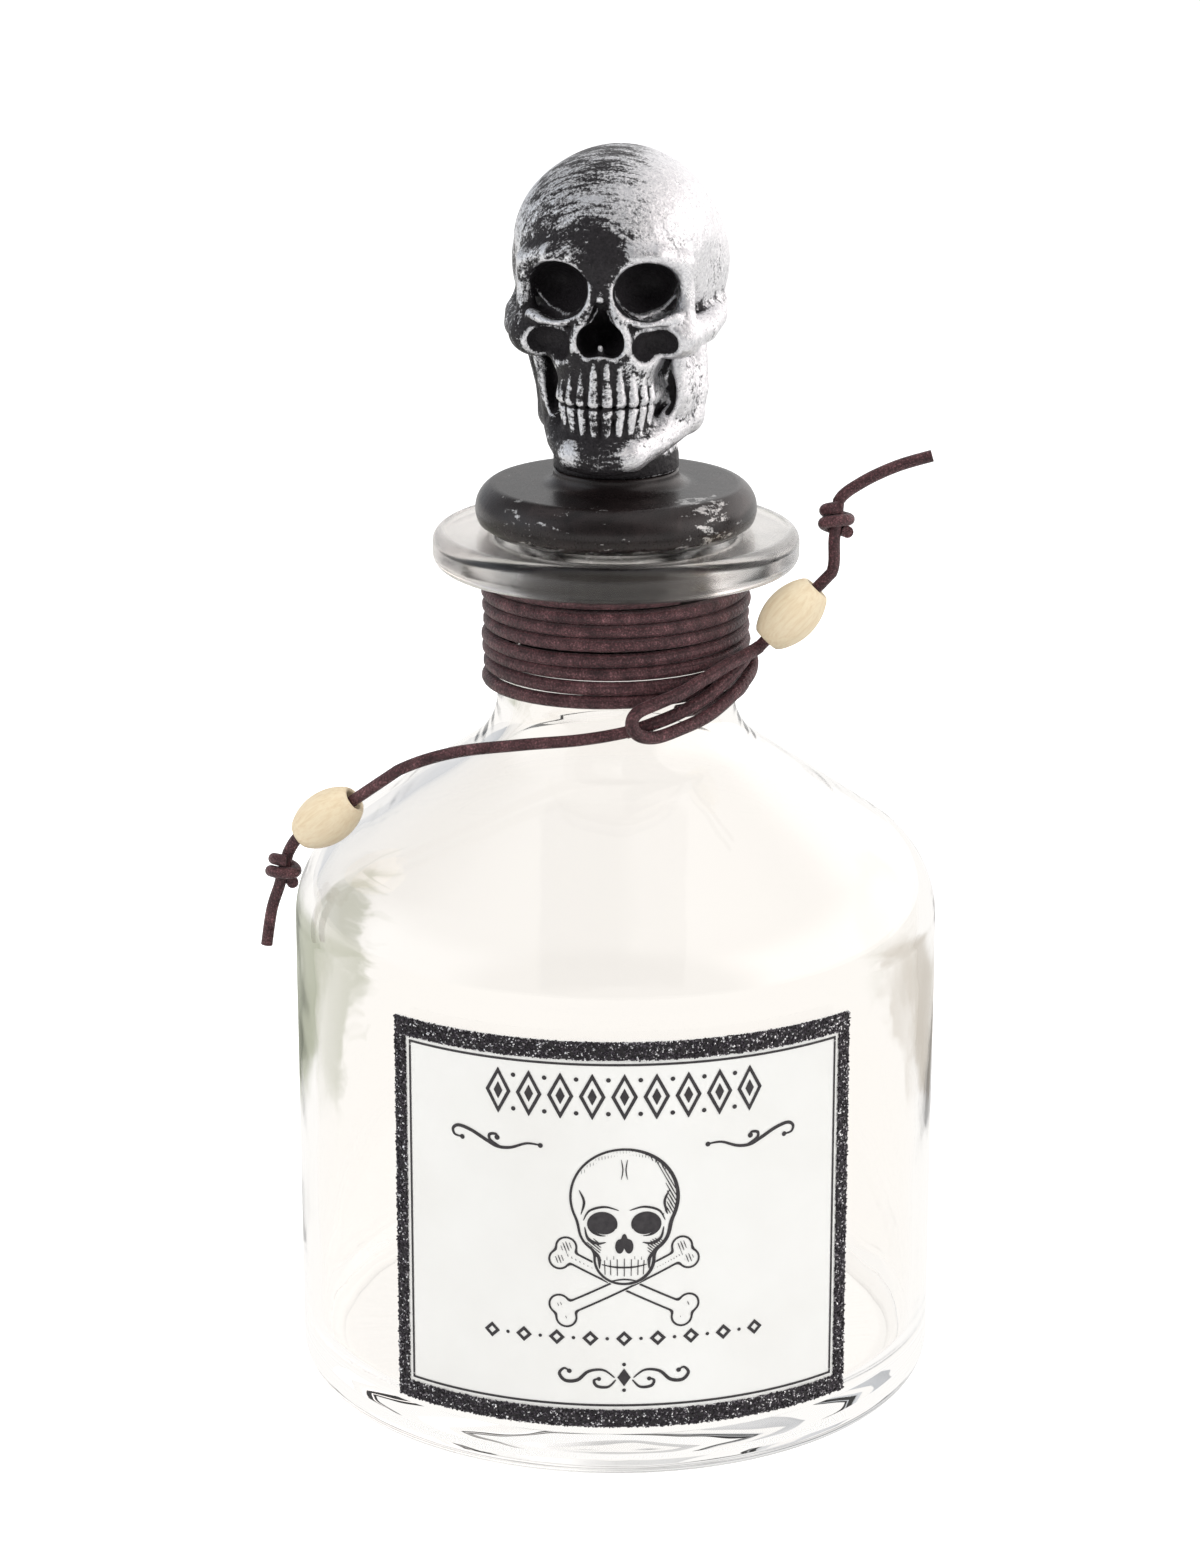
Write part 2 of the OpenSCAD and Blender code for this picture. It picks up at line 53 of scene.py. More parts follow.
camera_data = bpy.data.cameras.new("camera")
camera_data.sensor_width = SENSOR
camera_data.lens = FOCAL_PIXELS * SENSOR / LONG_SIDE_PIXELS
camera = bpy.data.objects.new("camera", camera_data)
camera.location = Vector(EYE) * MM
camera.rotation_euler = (radians(90 - LOOK_DOWN), 0, 0)
bpy.context.collection.objects.link(camera)
bpy.context.scene.camera = camera

# Studio
# A white floor under a white surround, lit by large soft lamps from the left, the right and above.
# Metal mirrors walls that are bright at the sides and dark in front, and through its edges the
# glass shows greyer walls, which draw its outline.
view = bpy.context.scene.view_settings
view.view_transform = "Standard"
# Light runs a long way inside the thick base of the bottle before it comes out again
cycles = bpy.context.scene.cycles
cycles.max_bounces = 28
cycles.transmission_bounces = 28
cycles.glossy_bounces = 12
# Strengths of the walls that reflections find, and of the light that fills every shadow
LEFT_WALL = 1.25
RIGHT_WALL = 2.0
FILL_LIGHT = 0.55
FLOOR_HALF = 6.0
FLOOR_GLOW = 0.62


def link(tree, start, end):
    tree.links.new(start, end)


def add(tree, kind, **settings):
    """A node of a tree. A setting is a socket's default where a socket has that name."""
    made = tree.nodes.new(kind)
    for name, value in settings.items():
        socket = made.inputs.get(name.replace("_", " "))
        if socket is not None:
            socket.default_value = value
        else:
            setattr(made, name, value)
    return made


def feed(tree, value, socket):
    """Links an output to a socket, or sets the socket to a plain number or colour."""
    if isinstance(value, bpy.types.NodeSocket):
        link(tree, value, socket)
    elif value is not None:
        socket.default_value = value


def math_node(tree, operation, first, second=None):
    made = add(tree, "ShaderNodeMath", operation=operation)
    feed(tree, first, made.inputs[0])
    feed(tree, second, made.inputs[1])
    return made.outputs[0]


def times(tree, first, second):
    return math_node(tree, "MULTIPLY", first, second)


def plus(tree, first, second):
    return math_node(tree, "ADD", first, second)


def ramp(tree, value, stops, ease="LINEAR"):
    """Colours or greys against a value between 0 and 1."""
    made = add(tree, "ShaderNodeValToRGB")
    made.color_ramp.interpolation = ease
    elements = made.color_ramp.elements
    while len(elements) < len(stops):
        elements.new(0.5)
    for element, (position, colour) in zip(elements, stops):
        element.position = position
        element.color = (*colour, 1) if isinstance(colour, tuple) else (colour, colour, colour, 1)
    link(tree, value, made.inputs["Fac"])
    return made.outputs["Color"]


def through_glass(tree):
    """The kinds of ray, and 1 for those that come from a reflection or through glass."""
    path = add(tree, "ShaderNodeLightPath")
    glossy, transmitted = path.outputs["Is Glossy Ray"], path.outputs["Is Transmission Ray"]
    return path, math_node(tree, "MAXIMUM", glossy, transmitted)


def mixed(tree, factor, first, second, kind="FLOAT", way="MIX"):
    made = add(tree, "ShaderNodeMix", data_type=kind, blend_type=way)
    for name, value in (("Factor", factor), ("A", first), ("B", second)):
        feed(tree, value, made.inputs[name])
    return made.outputs["Result"]


def split(tree, vector):
    made = add(tree, "ShaderNodeSeparateXYZ")
    link(tree, vector, made.inputs[0])
    return made.outputs


def new_piece(name, mesh):
    piece = bpy.data.objects.new(name, mesh)
    bpy.context.collection.objects.link(piece)
    return piece


def surround():
    world = bpy.data.worlds.new("white_surround")
    world.use_nodes = True
    tree = world.node_tree
    tree.nodes.clear()
    out = add(tree, "ShaderNodeOutputWorld")
    background = add(tree, "ShaderNodeBackground")
    path, seen = through_glass(tree)
    across, deep, up = split(tree, add(tree, "ShaderNodeTexCoord").outputs["Generated"])
    # Reflections find white walls at both sides, a dark room behind the camera and above it, and
    # grey panels behind the object at the far left and right
    depth = plus(tree, times(tree, deep, 0.5), 0.5)
    left_stops = [(0.0, 0.06), (0.12, 0.1), (0.3, 0.95), (0.55, 1.0), (0.75, 0.36), (1.0, 0.6)]
    right_stops = [(0.0, 0.06), (0.1, 0.1), (0.26, 1.0), (0.8, 1.0), (0.9, 0.7), (1.0, 0.6)]
    rightness = ramp(tree, across, [(0.0, 0.0), (0.1, 1.0)])
    left_walls, right_walls = ramp(tree, depth, left_stops, "EASE"), ramp(tree, depth, right_stops, "EASE")
    walls = mixed(tree, rightness, left_walls, right_walls)
    above = ramp(tree, up, [(0.35, 1.0), (0.75, 0.42), (1.0, 0.5)], "EASE")
    in_metal = times(tree, times(tree, walls, above), mixed(tree, rightness, LEFT_WALL, RIGHT_WALL))
    sideways = math_node(tree, "ABSOLUTE", across)
    in_glass = ramp(tree, sideways, [(0.0, 1.0), (0.62, 1.0), (0.8, 0.55), (0.93, 0.5), (1.0, 0.85)])
    glossy = path.outputs["Is Glossy Ray"]
    strength = mixed(tree, seen, FILL_LIGHT, mixed(tree, glossy, in_glass, in_metal))
    strength = mixed(tree, path.outputs["Is Camera Ray"], strength, 1.0)
    link(tree, strength, background.inputs["Strength"])
    # Daylight from the left is a little cool in reflections, and the right is a little rosy
    halfway = plus(tree, times(tree, across, 0.5), 0.5)
    tint = ramp(tree, halfway, [(0.2, (0.9, 0.94, 1.0)), (0.5, (1, 1, 1)), (0.8, (1.0, 0.95, 0.93))])
    link(tree, mixed(tree, glossy, (1, 1, 1, 1), tint, "RGBA"), background.inputs["Color"])
    link(tree, background.outputs[0], out.inputs["Surface"])
    bpy.context.scene.world = world


surround()


def lamp(name, spot, aim, size, watts):
    data = bpy.data.lights.new(name, "AREA")
    data.shape = "RECTANGLE"
    data.size, data.size_y = size
    data.energy = watts
    made = bpy.data.objects.new(name, data)
    made.location = Vector(spot)
    made.rotation_euler = (Vector(aim) - Vector(spot)).to_track_quat("-Z", "Y").to_euler()
    made.visible_glossy = False
    made.visible_transmission = False
    bpy.context.collection.objects.link(made)


lamp("left_lamp", (-0.9, -0.75, 0.75), (0, 0, 0.12), (0.6, 0.8), 6.6)
lamp("right_lamp", (1.0, -0.45, 0.5), (0, 0, 0.13), (0.5, 0.9), 5.2)
lamp("top_lamp", (0.05, 0.1, 1.1), (0, 0, 0.1), (0.7, 0.7), 4.2)


def floor():
    mesh = bpy.data.meshes.new("floor")
    corners = [(x * FLOOR_HALF, y * FLOOR_HALF, 0) for x, y in ((-1, -1), (1, -1), (1, 1), (-1, 1))]
    mesh.from_pydata(corners, [], [(0, 1, 2, 3)])
    material = bpy.data.materials.new("white_floor")
    material.use_nodes = True
    tree = material.node_tree
    tree.nodes.clear()
    out = add(tree, "ShaderNodeOutputMaterial")
    # The floor's own glow lifts it to white for the camera and keeps the shadow; behind glass and in
    # reflections it is plain white
    matt = add(tree, "ShaderNodeBsdfDiffuse", Color=(0.9, 0.9, 0.9, 1))
    glow = add(tree, "ShaderNodeEmission", Color=(1, 1, 1, 1))
    lifted = add(tree, "ShaderNodeAddShader")
    # Through the bottle's edges the floor shows two soft grey shadows of the studio, behind it at
    # the left and the right
    spot = add(tree, "ShaderNodeTexCoord").outputs["Object"]
    waves = add(tree, "ShaderNodeTexNoise", Scale=28.0, Detail=3.0, Roughness=0.6)
    link(tree, spot, waves.inputs["Vector"])
    shift = times(tree, math_node(tree, "SUBTRACT", waves.outputs["Fac"], 0.5), 0.06)
    apart = split(tree, spot)
    across, behind = plus(tree, apart["X"], shift), plus(tree, apart["Y"], shift)
    leftwards = ramp(tree, times(tree, across, -1), [(0.07, 0.0), (0.082, 1.0)], "EASE")
    left_range = ramp(tree, behind, [(0.1, 0.0), (0.13, 1.0), (0.26, 0.8), (0.36, 0.0)], "EASE")
    rightwards = ramp(tree, across, [(0.083, 0.0), (0.095, 1.0)], "EASE")
    right_range = ramp(tree, behind, [(0.1, 0.0), (0.12, 1.0), (0.18, 0.9), (0.22, 0.0)], "EASE")
    left_part, right_part = times(tree, leftwards, left_range), times(tree, rightwards, right_range)
    shades = mixed(tree, left_part, (1, 0.99, 0.975, 1), (0.5, 0.52, 0.42, 1), "RGBA")
    shades = mixed(tree, right_part, shades, (0.62, 0.58, 0.52, 1), "RGBA")
    plain = add(tree, "ShaderNodeEmission", Strength=1.0)
    link(tree, shades, plain.inputs["Color"])
    both = add(tree, "ShaderNodeMixShader")
    path, seen = through_glass(tree)
    link(tree, times(tree, path.outputs["Is Camera Ray"], FLOOR_GLOW), glow.inputs["Strength"])
    link(tree, matt.outputs[0], lifted.inputs[0])
    link(tree, glow.outputs[0], lifted.inputs[1])
    link(tree, seen, both.inputs["Fac"])
    link(tree, lifted.outputs[0], both.inputs[1])
    link(tree, plain.outputs[0], both.inputs[2])
    link(tree, both.outputs[0], out.inputs["Surface"])
    mesh.materials.append(material)
    new_piece("floor", mesh)


floor()


# Cord
# Round cotton cord, 2 mm thick and dark wine brown, stiff with wax. It is wound eight times
# round the neck under the lip, tied at the front right, and its two ends stand off as tails.
CORD_D = 2.0
CORD_R = CORD_D / 2
NECK_R = 20.1
LIP_UNDERSIDE = 143.29
WIND_RISE = 2.42
WIND_TURNS = 8
WIND_GAP = 0.4
WIND_START = -62
# The route of the tails and of the tie between them, from the left tail's cut end
ROUTE = [
    (-59.2, -12.8, 79.8), (-58.2, -12.6, 86), (-56.8, -12.8, 90.4), (-55.2, -13.4, 96.2),
    (-53.4, -13.9, 99.2), (-36.2, -18.9, 112.4), (-27, -21.4, 116.2), (-16, -23.1, 118),
    (-6, -23.6, 119), (1.6, -23.8, 120.4), (6.6, -22.9, 121.8), (10.8, -21.3, 123.2),
    (15, -18.5, 125), (18.2, -15.4, 127), (20.8, -12.2, 129), (22, -9.4, 129.9),
    (22.7, -8.2, 128.7), (22.5, -9.6, 127.1), (21.2, -13.2, 126), (18.5, -17, 124.1),
    (14.9, -20, 122), (10.6, -22.8, 120.7), (6.5, -24.8, 119.8), (3.6, -26.2, 120.6),
    (2.5, -26.6, 122.6), (3.5, -26, 124.4), (6.8, -24.6, 125.6), (10.8, -22.4, 126.8),
    (15, -19.5, 128.6), (18.4, -16.8, 130), (21.2, -14.4, 130.9), (23.8, -12.6, 132),
    (35.6, -11.8, 144.4), (36, -11.4, 150.2), (36.6, -11.2, 156.4), (40.4, -11.4, 159.6),
    (46, -11.8, 162.4), (51.8, -12, 164.2),
]
# Points at which a straight stretch starts: left knot, left bead, right bead, right knot
LEFT_KNOT = 2
LEFT_RUN = 4
RIGHT_RUN = 31
RIGHT_KNOT = 33
STRAIGHTS = (LEFT_KNOT, LEFT_RUN, RIGHT_RUN, RIGHT_KNOT)
TIE_START = 9
TIE_END = 31
BEND_STEPS = 8
CORD_SIDES = 16
COIL_STEPS = 48
# The wax makes the turns a little fuller than the bare cord
WINDING_SWELL = 0.16
TIE_SWELL = 0.1


def curve_point(a, b, c, d, t):
    """A point at t on the smooth curve from b to c, with a before it and d after it."""
    return 0.5 * (2 * b + (c - a) * t + (2 * a - 5 * b + 4 * c - d) * t**2 + (3 * b - a - 3 * c + d) * t**3)


def bent(first, last):
    """The smooth line through the route's points first to last, straight where it has to be."""
    points = [np.array(p, float) for p in ROUTE]
    line = []
    for i in range(first, last):
        b, c = points[i], points[i + 1]
        a = points[max(i - 1, 0)]
        d = points[min(i + 2, len(points) - 1)]
        # Beside a straight stretch the bend starts or ends in line with it
        reach = np.linalg.norm(c - b)
        if i - 1 in STRAIGHTS:
            a = b - (b - a) * reach / np.linalg.norm(b - a)
        if i + 1 in STRAIGHTS:
            d = c + (d - c) * reach / np.linalg.norm(d - c)
        for k in range(BEND_STEPS):
            t = k / BEND_STEPS
            line.append(b + (c - b) * t if i in STRAIGHTS else curve_point(a, b, c, d, t))
    line.append(points[last])
    return np.array(line)


def group_input(tree, name, kind, value=None):
    made = tree.interface.new_socket(name, in_out="INPUT", socket_type=kind)
    if value is not None:
        made.default_value = value
    return made


def cord_tree():
    """Geometry nodes that turn a line of edges into a round cord with closed ends."""
    tree = bpy.data.node_groups.new("round_cord", "GeometryNodeTree")
    group_input(tree, "Line", "NodeSocketGeometry")
    group_input(tree, "Radius", "NodeSocketFloat", CORD_R * MM)
    group_input(tree, "Sides", "NodeSocketInt", CORD_SIDES)
    group_input(tree, "Cord", "NodeSocketMaterial")
    tree.interface.new_socket("Mesh", in_out="OUTPUT", socket_type="NodeSocketGeometry")
    given, out = add(tree, "NodeGroupInput"), add(tree, "NodeGroupOutput")
    curve = add(tree, "GeometryNodeMeshToCurve")
    link(tree, given.outputs["Line"], curve.inputs["Mesh"])
    along = add(tree, "GeometryNodeStoreNamedAttribute", data_type="FLOAT", domain="POINT")
    along.inputs["Name"].default_value = "along"
    link(tree, curve.outputs[0], along.inputs["Geometry"])
    link(tree, add(tree, "GeometryNodeSplineParameter").outputs["Length"], along.inputs["Value"])
    circle = add(tree, "GeometryNodeCurvePrimitiveCircle")
    link(tree, given.outputs["Sides"], circle.inputs["Resolution"])
    link(tree, given.outputs["Radius"], circle.inputs["Radius"])
    around = add(tree, "GeometryNodeStoreNamedAttribute", data_type="FLOAT", domain="POINT")
    around.inputs["Name"].default_value = "around"
    link(tree, circle.outputs[0], around.inputs["Geometry"])
    link(tree, add(tree, "GeometryNodeSplineParameter").outputs["Factor"], around.inputs["Value"])
    sweep = add(tree, "GeometryNodeCurveToMesh")
    link(tree, along.outputs[0], sweep.inputs["Curve"])
    link(tree, around.outputs[0], sweep.inputs["Profile Curve"])
    sweep.inputs["Fill Caps"].default_value = True
    real = add(tree, "GeometryNodeRealizeInstances")
    link(tree, sweep.outputs[0], real.inputs[0])
    finish = add(tree, "GeometryNodeSetMaterial")
    link(tree, real.outputs[0], finish.inputs["Geometry"])
    link(tree, given.outputs["Cord"], finish.inputs["Material"])
    link(tree, finish.outputs[0], out.inputs[0])
    return tree


def plain_mesh(name, start, tree, values):
    """The plain mesh that a tree of geometry nodes makes of a start mesh."""
    carrier = new_piece(name + "_start", start)
    modifier = carrier.modifiers.new("make", "NODES")
    modifier.node_group = tree
    sockets = {s.name: s.identifier for s in tree.interface.items_tree if s.item_type == "SOCKET"}
    for key, value in values.items():
        modifier[sockets[key]] = value
    depsgraph = bpy.context.evaluated_depsgraph_get()
    mesh = bpy.data.meshes.new_from_object(carrier.evaluated_get(depsgraph))
    bpy.data.objects.remove(carrier)
    mesh.name = name
    return new_piece(name, mesh)


def fit(piece, body, node):
    """Rides a piece on its body and puts it in place of its plain solid."""
    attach(piece, body)
    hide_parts(node)
    return piece


def smooth(piece):
    piece.data.polygons.foreach_set("use_smooth", [True] * len(piece.data.polygons))
    piece.data.update()


def new_material(name):
    material = bpy.data.materials.new(name)
    material.use_nodes = True
    tree = material.node_tree
    shader = tree.nodes["Principled BSDF"]
    return material, tree, shader


def attribute(tree, name, output="Fac"):
    return add(tree, "ShaderNodeAttribute", attribute_name=name).outputs[output]


def place(tree):
    """Object coordinates in millimetres."""
    mapping = add(tree, "ShaderNodeMapping", Scale=(1 / MM, 1 / MM, 1 / MM))
    link(tree, add(tree, "ShaderNodeTexCoord").outputs["Object"], mapping.inputs["Vector"])
    return mapping.outputs[0]


def noise(tree, vector, scale, detail=4.0, rough=0.55, warp=0.0):
    made = add(tree, "ShaderNodeTexNoise", Scale=scale, Detail=detail, Roughness=rough, Distortion=warp)
    link(tree, vector, made.inputs["Vector"])
    return made.outputs["Fac"]


def bump(tree, height, strength, distance):
    made = add(tree, "ShaderNodeBump", Strength=strength, Distance=distance)
    link(tree, height, made.inputs["Height"])
    return made.outputs["Normal"]


def dress(tree, shader, **outputs):
    """Feeds a material's shader, with each socket named in lower case."""
    for name, value in outputs.items():
        link(tree, value, shader.inputs[name.replace("_", " ").title()])


def waxed_cotton():
    material, tree, shader = new_material("waxed_cotton")
    along = attribute(tree, "along")
    around = attribute(tree, "around")
    # Two strands of plaited yarn show as fine slanting ridges under the wax
    turn = times(tree, around, 2 * pi * 5)
    run = times(tree, along, 2 * pi / (1.15 * MM))
    one = math_node(tree, "SINE", plus(tree, turn, run))
    other = math_node(tree, "SINE", math_node(tree, "SUBTRACT", turn, run))
    plait = math_node(tree, "MAXIMUM", one, other)
    spot = place(tree)
    fuzz = noise(tree, spot, 3.6, 5.0, 0.7)
    patch = noise(tree, spot, 0.35, 3.0)
    shades = [(0.25, (0.03, 0.011, 0.013)), (0.5, (0.062, 0.025, 0.028)), (0.8, (0.125, 0.056, 0.06))]
    # Fine fibres make the cord's colour uneven, and the brightest specks, up to three times as bright, are
    # painted glints of light on the wax
    fibre_tone_and_painted_glints = ramp(tree, fuzz, [(0.38, 0.45), (0.49, 0.85), (0.56, 1.3), (0.61, 3.4)])
    colour = mixed(tree, 0.8, ramp(tree, patch, shades), fibre_tone_and_painted_glints, "RGBA", "MULTIPLY")
    rough = ramp(tree, fuzz, [(0.3, 0.62), (0.7, 0.42)])
    height = plus(tree, times(tree, plait, 0.5), fuzz)
    dress(tree, shader, base_color=colour, roughness=rough, normal=bump(tree, height, 0.7, 0.00012))
    shader.inputs["Sheen Weight"].default_value = 0.1
    shader.inputs["Sheen Roughness"].default_value = 0.4
    shader.inputs["Specular IOR Level"].default_value = 0.4
    return material


cord_material = waxed_cotton()
round_cord = cord_tree()


def cord_piece(name, line, node, radius=CORD_R):
    start = bpy.data.meshes.new(name + "_line")
    edges = [(i, i + 1) for i in range(len(line) - 1)]
    start.from_pydata([tuple(p * MM) for p in line], edges, [])
    values = {"Radius": radius * MM, "Sides": CORD_SIDES, "Cord": cord_material}
    piece = plain_mesh(name, start, round_cord, values)
    smooth(piece)
    return fit(piece, "bottle", node)


def helix(radius, rise, turns, start, steps=COIL_STEPS):
    """Points of a coil about Z, drawn by its turns."""
    n = int(turns * steps)
    angles = np.radians(start + 360 * np.arange(n + 1) / steps)
    height = rise * np.arange(n + 1) / steps
    return np.stack([radius * np.cos(angles), radius * np.sin(angles), height], 1)


def winding():
    """Eight turns lie side by side, not quite evenly, as a hand winds them."""
    thick = CORD_R + WINDING_SWELL
    line = helix(NECK_R + thick + 0.03, WIND_RISE, WIND_TURNS, WIND_START)
    turn = np.arange(len(line)) / COIL_STEPS
    line[:, 2] += LIP_UNDERSIDE - WIND_GAP - CORD_R - WIND_RISE * WIND_TURNS
    line[:, 2] += 0.2 * np.sin(turn * 2 * pi * 0.93 + 1.3) * np.sin(turn * 2.1)
    line[:, :2] *= 1 + 0.008 * (1 + np.sin(turn * 2 * pi * 1.37 + turn * 1.9))[:, None]
    cord_piece("cord_winding_turns", line, "cord_winding", thick)


winding()
cord_piece("cord_tie", bent(TIE_START, TIE_END), "tie_knot", CORD_R + TIE_SWELL)
left_line = bent(0, TIE_START)[::-1]
right_line = bent(TIE_END, len(ROUTE) - 1)
left_tail = cord_piece("cord_left_tail", left_line, "left_tail")
right_tail = cord_piece("cord_right_tail", right_line, "right_tail")


def laid_between(a, b, points):
    """Points drawn about Z, moved to the middle between a and b with Z along them."""
    a, b = Vector(a), Vector(b)
    turn = Vector((0, 0, 1)).rotation_difference(b - a).to_matrix()
    middle = (a + b) / 2
    return np.array([turn @ Vector(p) + middle for p in points])


def end_knot(name, start, node):
    """An overhand knot: two tight turns over the tail, leaning across each other."""
    turns, rise = 1.75, CORD_D * 1.08
    line = helix(2 * CORD_R + 0.02, rise, turns, 0, 40)
    line[:, 2] -= rise * turns / 2
    lean = radians(14)
    tilted = line @ np.array([[1, 0, 0], [0, cos(lean), -sin(lean)], [0, sin(lean), cos(lean)]])
    return cord_piece(name, laid_between(ROUTE[start], ROUTE[start + 1], tilted), node)


left_knot = end_knot("cord_left_knot", LEFT_KNOT, "left_end_knot")
right_knot = end_knot("cord_right_knot", RIGHT_KNOT, "right_end_knot")


# Beads
# Two oval beads of pale bare wood, 12 by 9 mm, turned and sanded, with a hole that the cord
# passes freely. Each slides along a straight stretch of its tail.
BEAD_LEN = 12
BEAD_R = 4.5
BEAD_BORE_R = 1.7
BEAD_END_W = 0.75
BEAD_EDGE_R = 0.45
LEFT_STOP = 0.6
RIGHT_STOP = 1.6


def merged(mesh, reach, outwards=False):
    """Joins the corners of a mesh that lie together, and may turn its faces outwards."""
    shape = bmesh.new()
    shape.from_mesh(mesh)
    bmesh.ops.remove_doubles(shape, verts=shape.verts, dist=reach)
    if outwards:
        bmesh.ops.recalc_face_normals(shape, faces=shape.faces)
    shape.to_mesh(mesh)
    shape.free()


def lathe(name, profile, steps):
    """A mesh turned about Z from a closed outline of (radius, height) points, in millimetres."""
    n = len(profile)
    verts, faces = [], []
    for k in range(steps):
        a = 2 * pi * k / steps
        verts += [(r * cos(a) * MM, r * sin(a) * MM, z * MM) for r, z in profile]
    for k in range(steps):
        m = (k + 1) % steps
        for i in range(n):
            j = (i + 1) % n
            faces.append((k * n + i, m * n + i, m * n + j, k * n + j))
    mesh = bpy.data.meshes.new(name)
    mesh.from_pydata(verts, [], faces)
    merged(mesh, 1e-7, outwards=True)
    piece = new_piece(name, mesh)
    smooth(piece)
    return piece


def arc(x, z, r, a, b, n=8):
    """Points of an arc about (x, z), from angle a to angle b."""
    turns = [radians(a + (b - a) * i / n) for i in range(n + 1)]
    return [(x + r * cos(turn), z + r * sin(turn)) for turn in turns]


def bare_wood():
    material, tree, shader = new_material("bare_wood")
    grain = noise(tree, attribute(tree, "grain", "Vector"), 1.0, 5.0, 0.6, 0.4)
    fine = noise(tree, place(tree), 3.0, 4.0)
    shades = [(0.25, (0.7, 0.55, 0.35)), (0.45, (0.77, 0.63, 0.43)), (0.6, (0.81, 0.69, 0.49)),
              (0.8, (0.75, 0.6, 0.4))]
    rough = ramp(tree, fine, [(0.3, 0.38), (0.7, 0.52)])
    normal = bump(tree, plus(tree, grain, times(tree, fine, 0.3)), 0.12, 0.00006)
    dress(tree, shader, base_color=ramp(tree, grain, shades), roughness=rough, normal=normal)
    return material


wood = bare_wood()


def bead(name, start, stop, node):
    end_r = BEAD_BORE_R + BEAD_END_W
    rise = BEAD_R - end_r
    side_r = (BEAD_LEN**2 / 4 + rise**2) / (2 * rise)
    half = np.degrees(np.arcsin((BEAD_LEN / 2 - 0.5) / side_r))
    outline = arc(BEAD_R - side_r, 0, side_r, -half, half, 24)
    for side, start_angle in ((1, 60), (-1, 180)):
        height = side * (BEAD_LEN / 2 - BEAD_EDGE_R)
        outline += arc(BEAD_BORE_R + BEAD_EDGE_R, height, BEAD_EDGE_R, start_angle, start_angle + 120, 5)
    piece = lathe(name, outline, 72)
    a, b = Vector(ROUTE[start]) * MM, Vector(ROUTE[start + 1]) * MM
    way = (b - a).normalized()
    middle = a + way * (BEAD_LEN / 2 + stop) * MM
    turn = Vector((0, 0, 1)).rotation_difference(way).to_matrix()
    grain = piece.data.attributes.new("grain", "FLOAT_VECTOR", "POINT")
    stretch = []
    for vertex in piece.data.vertices:
        local = vertex.co.copy() / MM
        stretch += [local.x * 1.6, local.y * 1.6, local.z * 0.22 + start]
        vertex.co = turn @ vertex.co + middle
    grain.data.foreach_set("vector", stretch)
    piece.data.materials.append(wood)
    return fit(piece, node, node)


left_bead = bead("wooden_left_bead", LEFT_RUN, LEFT_STOP, "left_bead")
right_bead = bead("wooden_right_bead", RIGHT_RUN, RIGHT_STOP, "right_bead")


# Glass bottle
# One piece of clear blown glass with a thick base: a round body, a sloping shoulder, a straight
# neck and a flat, flared lip with a fire-polished edge. The wall is 3 mm.
BODY_R = 55
WALL = 3
SHOULDER_Z = 82
SHOULDER_R = 17
SLOPE = 35
NECK_FOOT_R = 11
NECK_WALL = 3
LIP_R = 30.8
LIP_T = 6.2
LIP_EDGE_R = 2.2
LIP_FILLET = 1.6
MOUTH_ROUND = 1.2
HEEL_R = 5
FLOOR_Z = 6.5
FLOOR_R = 6
PUNT_R = 38
PUNT_H = 1.5
MOUTH_Z = LIP_UNDERSIDE + LIP_T
BORE_R = NECK_R - NECK_WALL


def foot(x, z, r):
    """The hollow curve from the shoulder's slope up into an upright at radius x."""
    s = radians(SLOPE)
    return arc(x + r, z + r * (1 - sin(s)) / cos(s), r, 270 - SLOPE, 180, 24)


def glass_outline():
    s = radians(SLOPE)
    middle = (BODY_R - SHOULDER_R, SHOULDER_Z)
    edge = (middle[0] + SHOULDER_R * sin(s), middle[1] + SHOULDER_R * cos(s))
    inner = (edge[0] - WALL * sin(s), edge[1] - WALL * cos(s))
    neck_z = edge[1] + (edge[0] - NECK_R) * tan(s)
    bore_z = inner[1] + (inner[0] - BORE_R) * tan(s)
    ball = (PUNT_R**2 + PUNT_H**2) / (2 * PUNT_H)
    outside = [(0, PUNT_H)]
    outside += arc(0, PUNT_H - ball, ball, 90, 90 - np.degrees(np.arcsin(PUNT_R / ball)), 16)[1:]
    outside += arc(BODY_R - HEEL_R, HEEL_R, HEEL_R, -90, 0, 20)
    outside += [(BODY_R, z) for z in np.linspace(HEEL_R, SHOULDER_Z, 12)[1:-1]]
    outside += arc(*middle, SHOULDER_R, 0, 90 - SLOPE, 28)
    outside += foot(NECK_R, neck_z, NECK_FOOT_R)
    outside += arc(NECK_R + LIP_FILLET, LIP_UNDERSIDE - LIP_FILLET, LIP_FILLET, 180, 90, 8)
    outside += arc(LIP_R - LIP_EDGE_R, LIP_UNDERSIDE + LIP_EDGE_R, LIP_EDGE_R, -90, 0, 12)
    outside += arc(LIP_R - LIP_EDGE_R, MOUTH_Z - LIP_EDGE_R, LIP_EDGE_R, 0, 90, 12)
    inside = arc(BORE_R + MOUTH_ROUND, MOUTH_Z - MOUTH_ROUND, MOUTH_ROUND, 90, 180, 8)
    inside += foot(BORE_R, bore_z, NECK_FOOT_R + WALL)[::-1]
    inside += arc(*middle, SHOULDER_R - WALL, 90 - SLOPE, 0, 28)
    inside += [(BODY_R - WALL, z) for z in np.linspace(SHOULDER_Z, FLOOR_Z + FLOOR_R, 12)[1:-1]]
    inside += arc(BODY_R - WALL - FLOOR_R, FLOOR_Z + FLOOR_R, FLOOR_R, 0, -90, 20)
    return outside + inside + [(0, FLOOR_Z)]


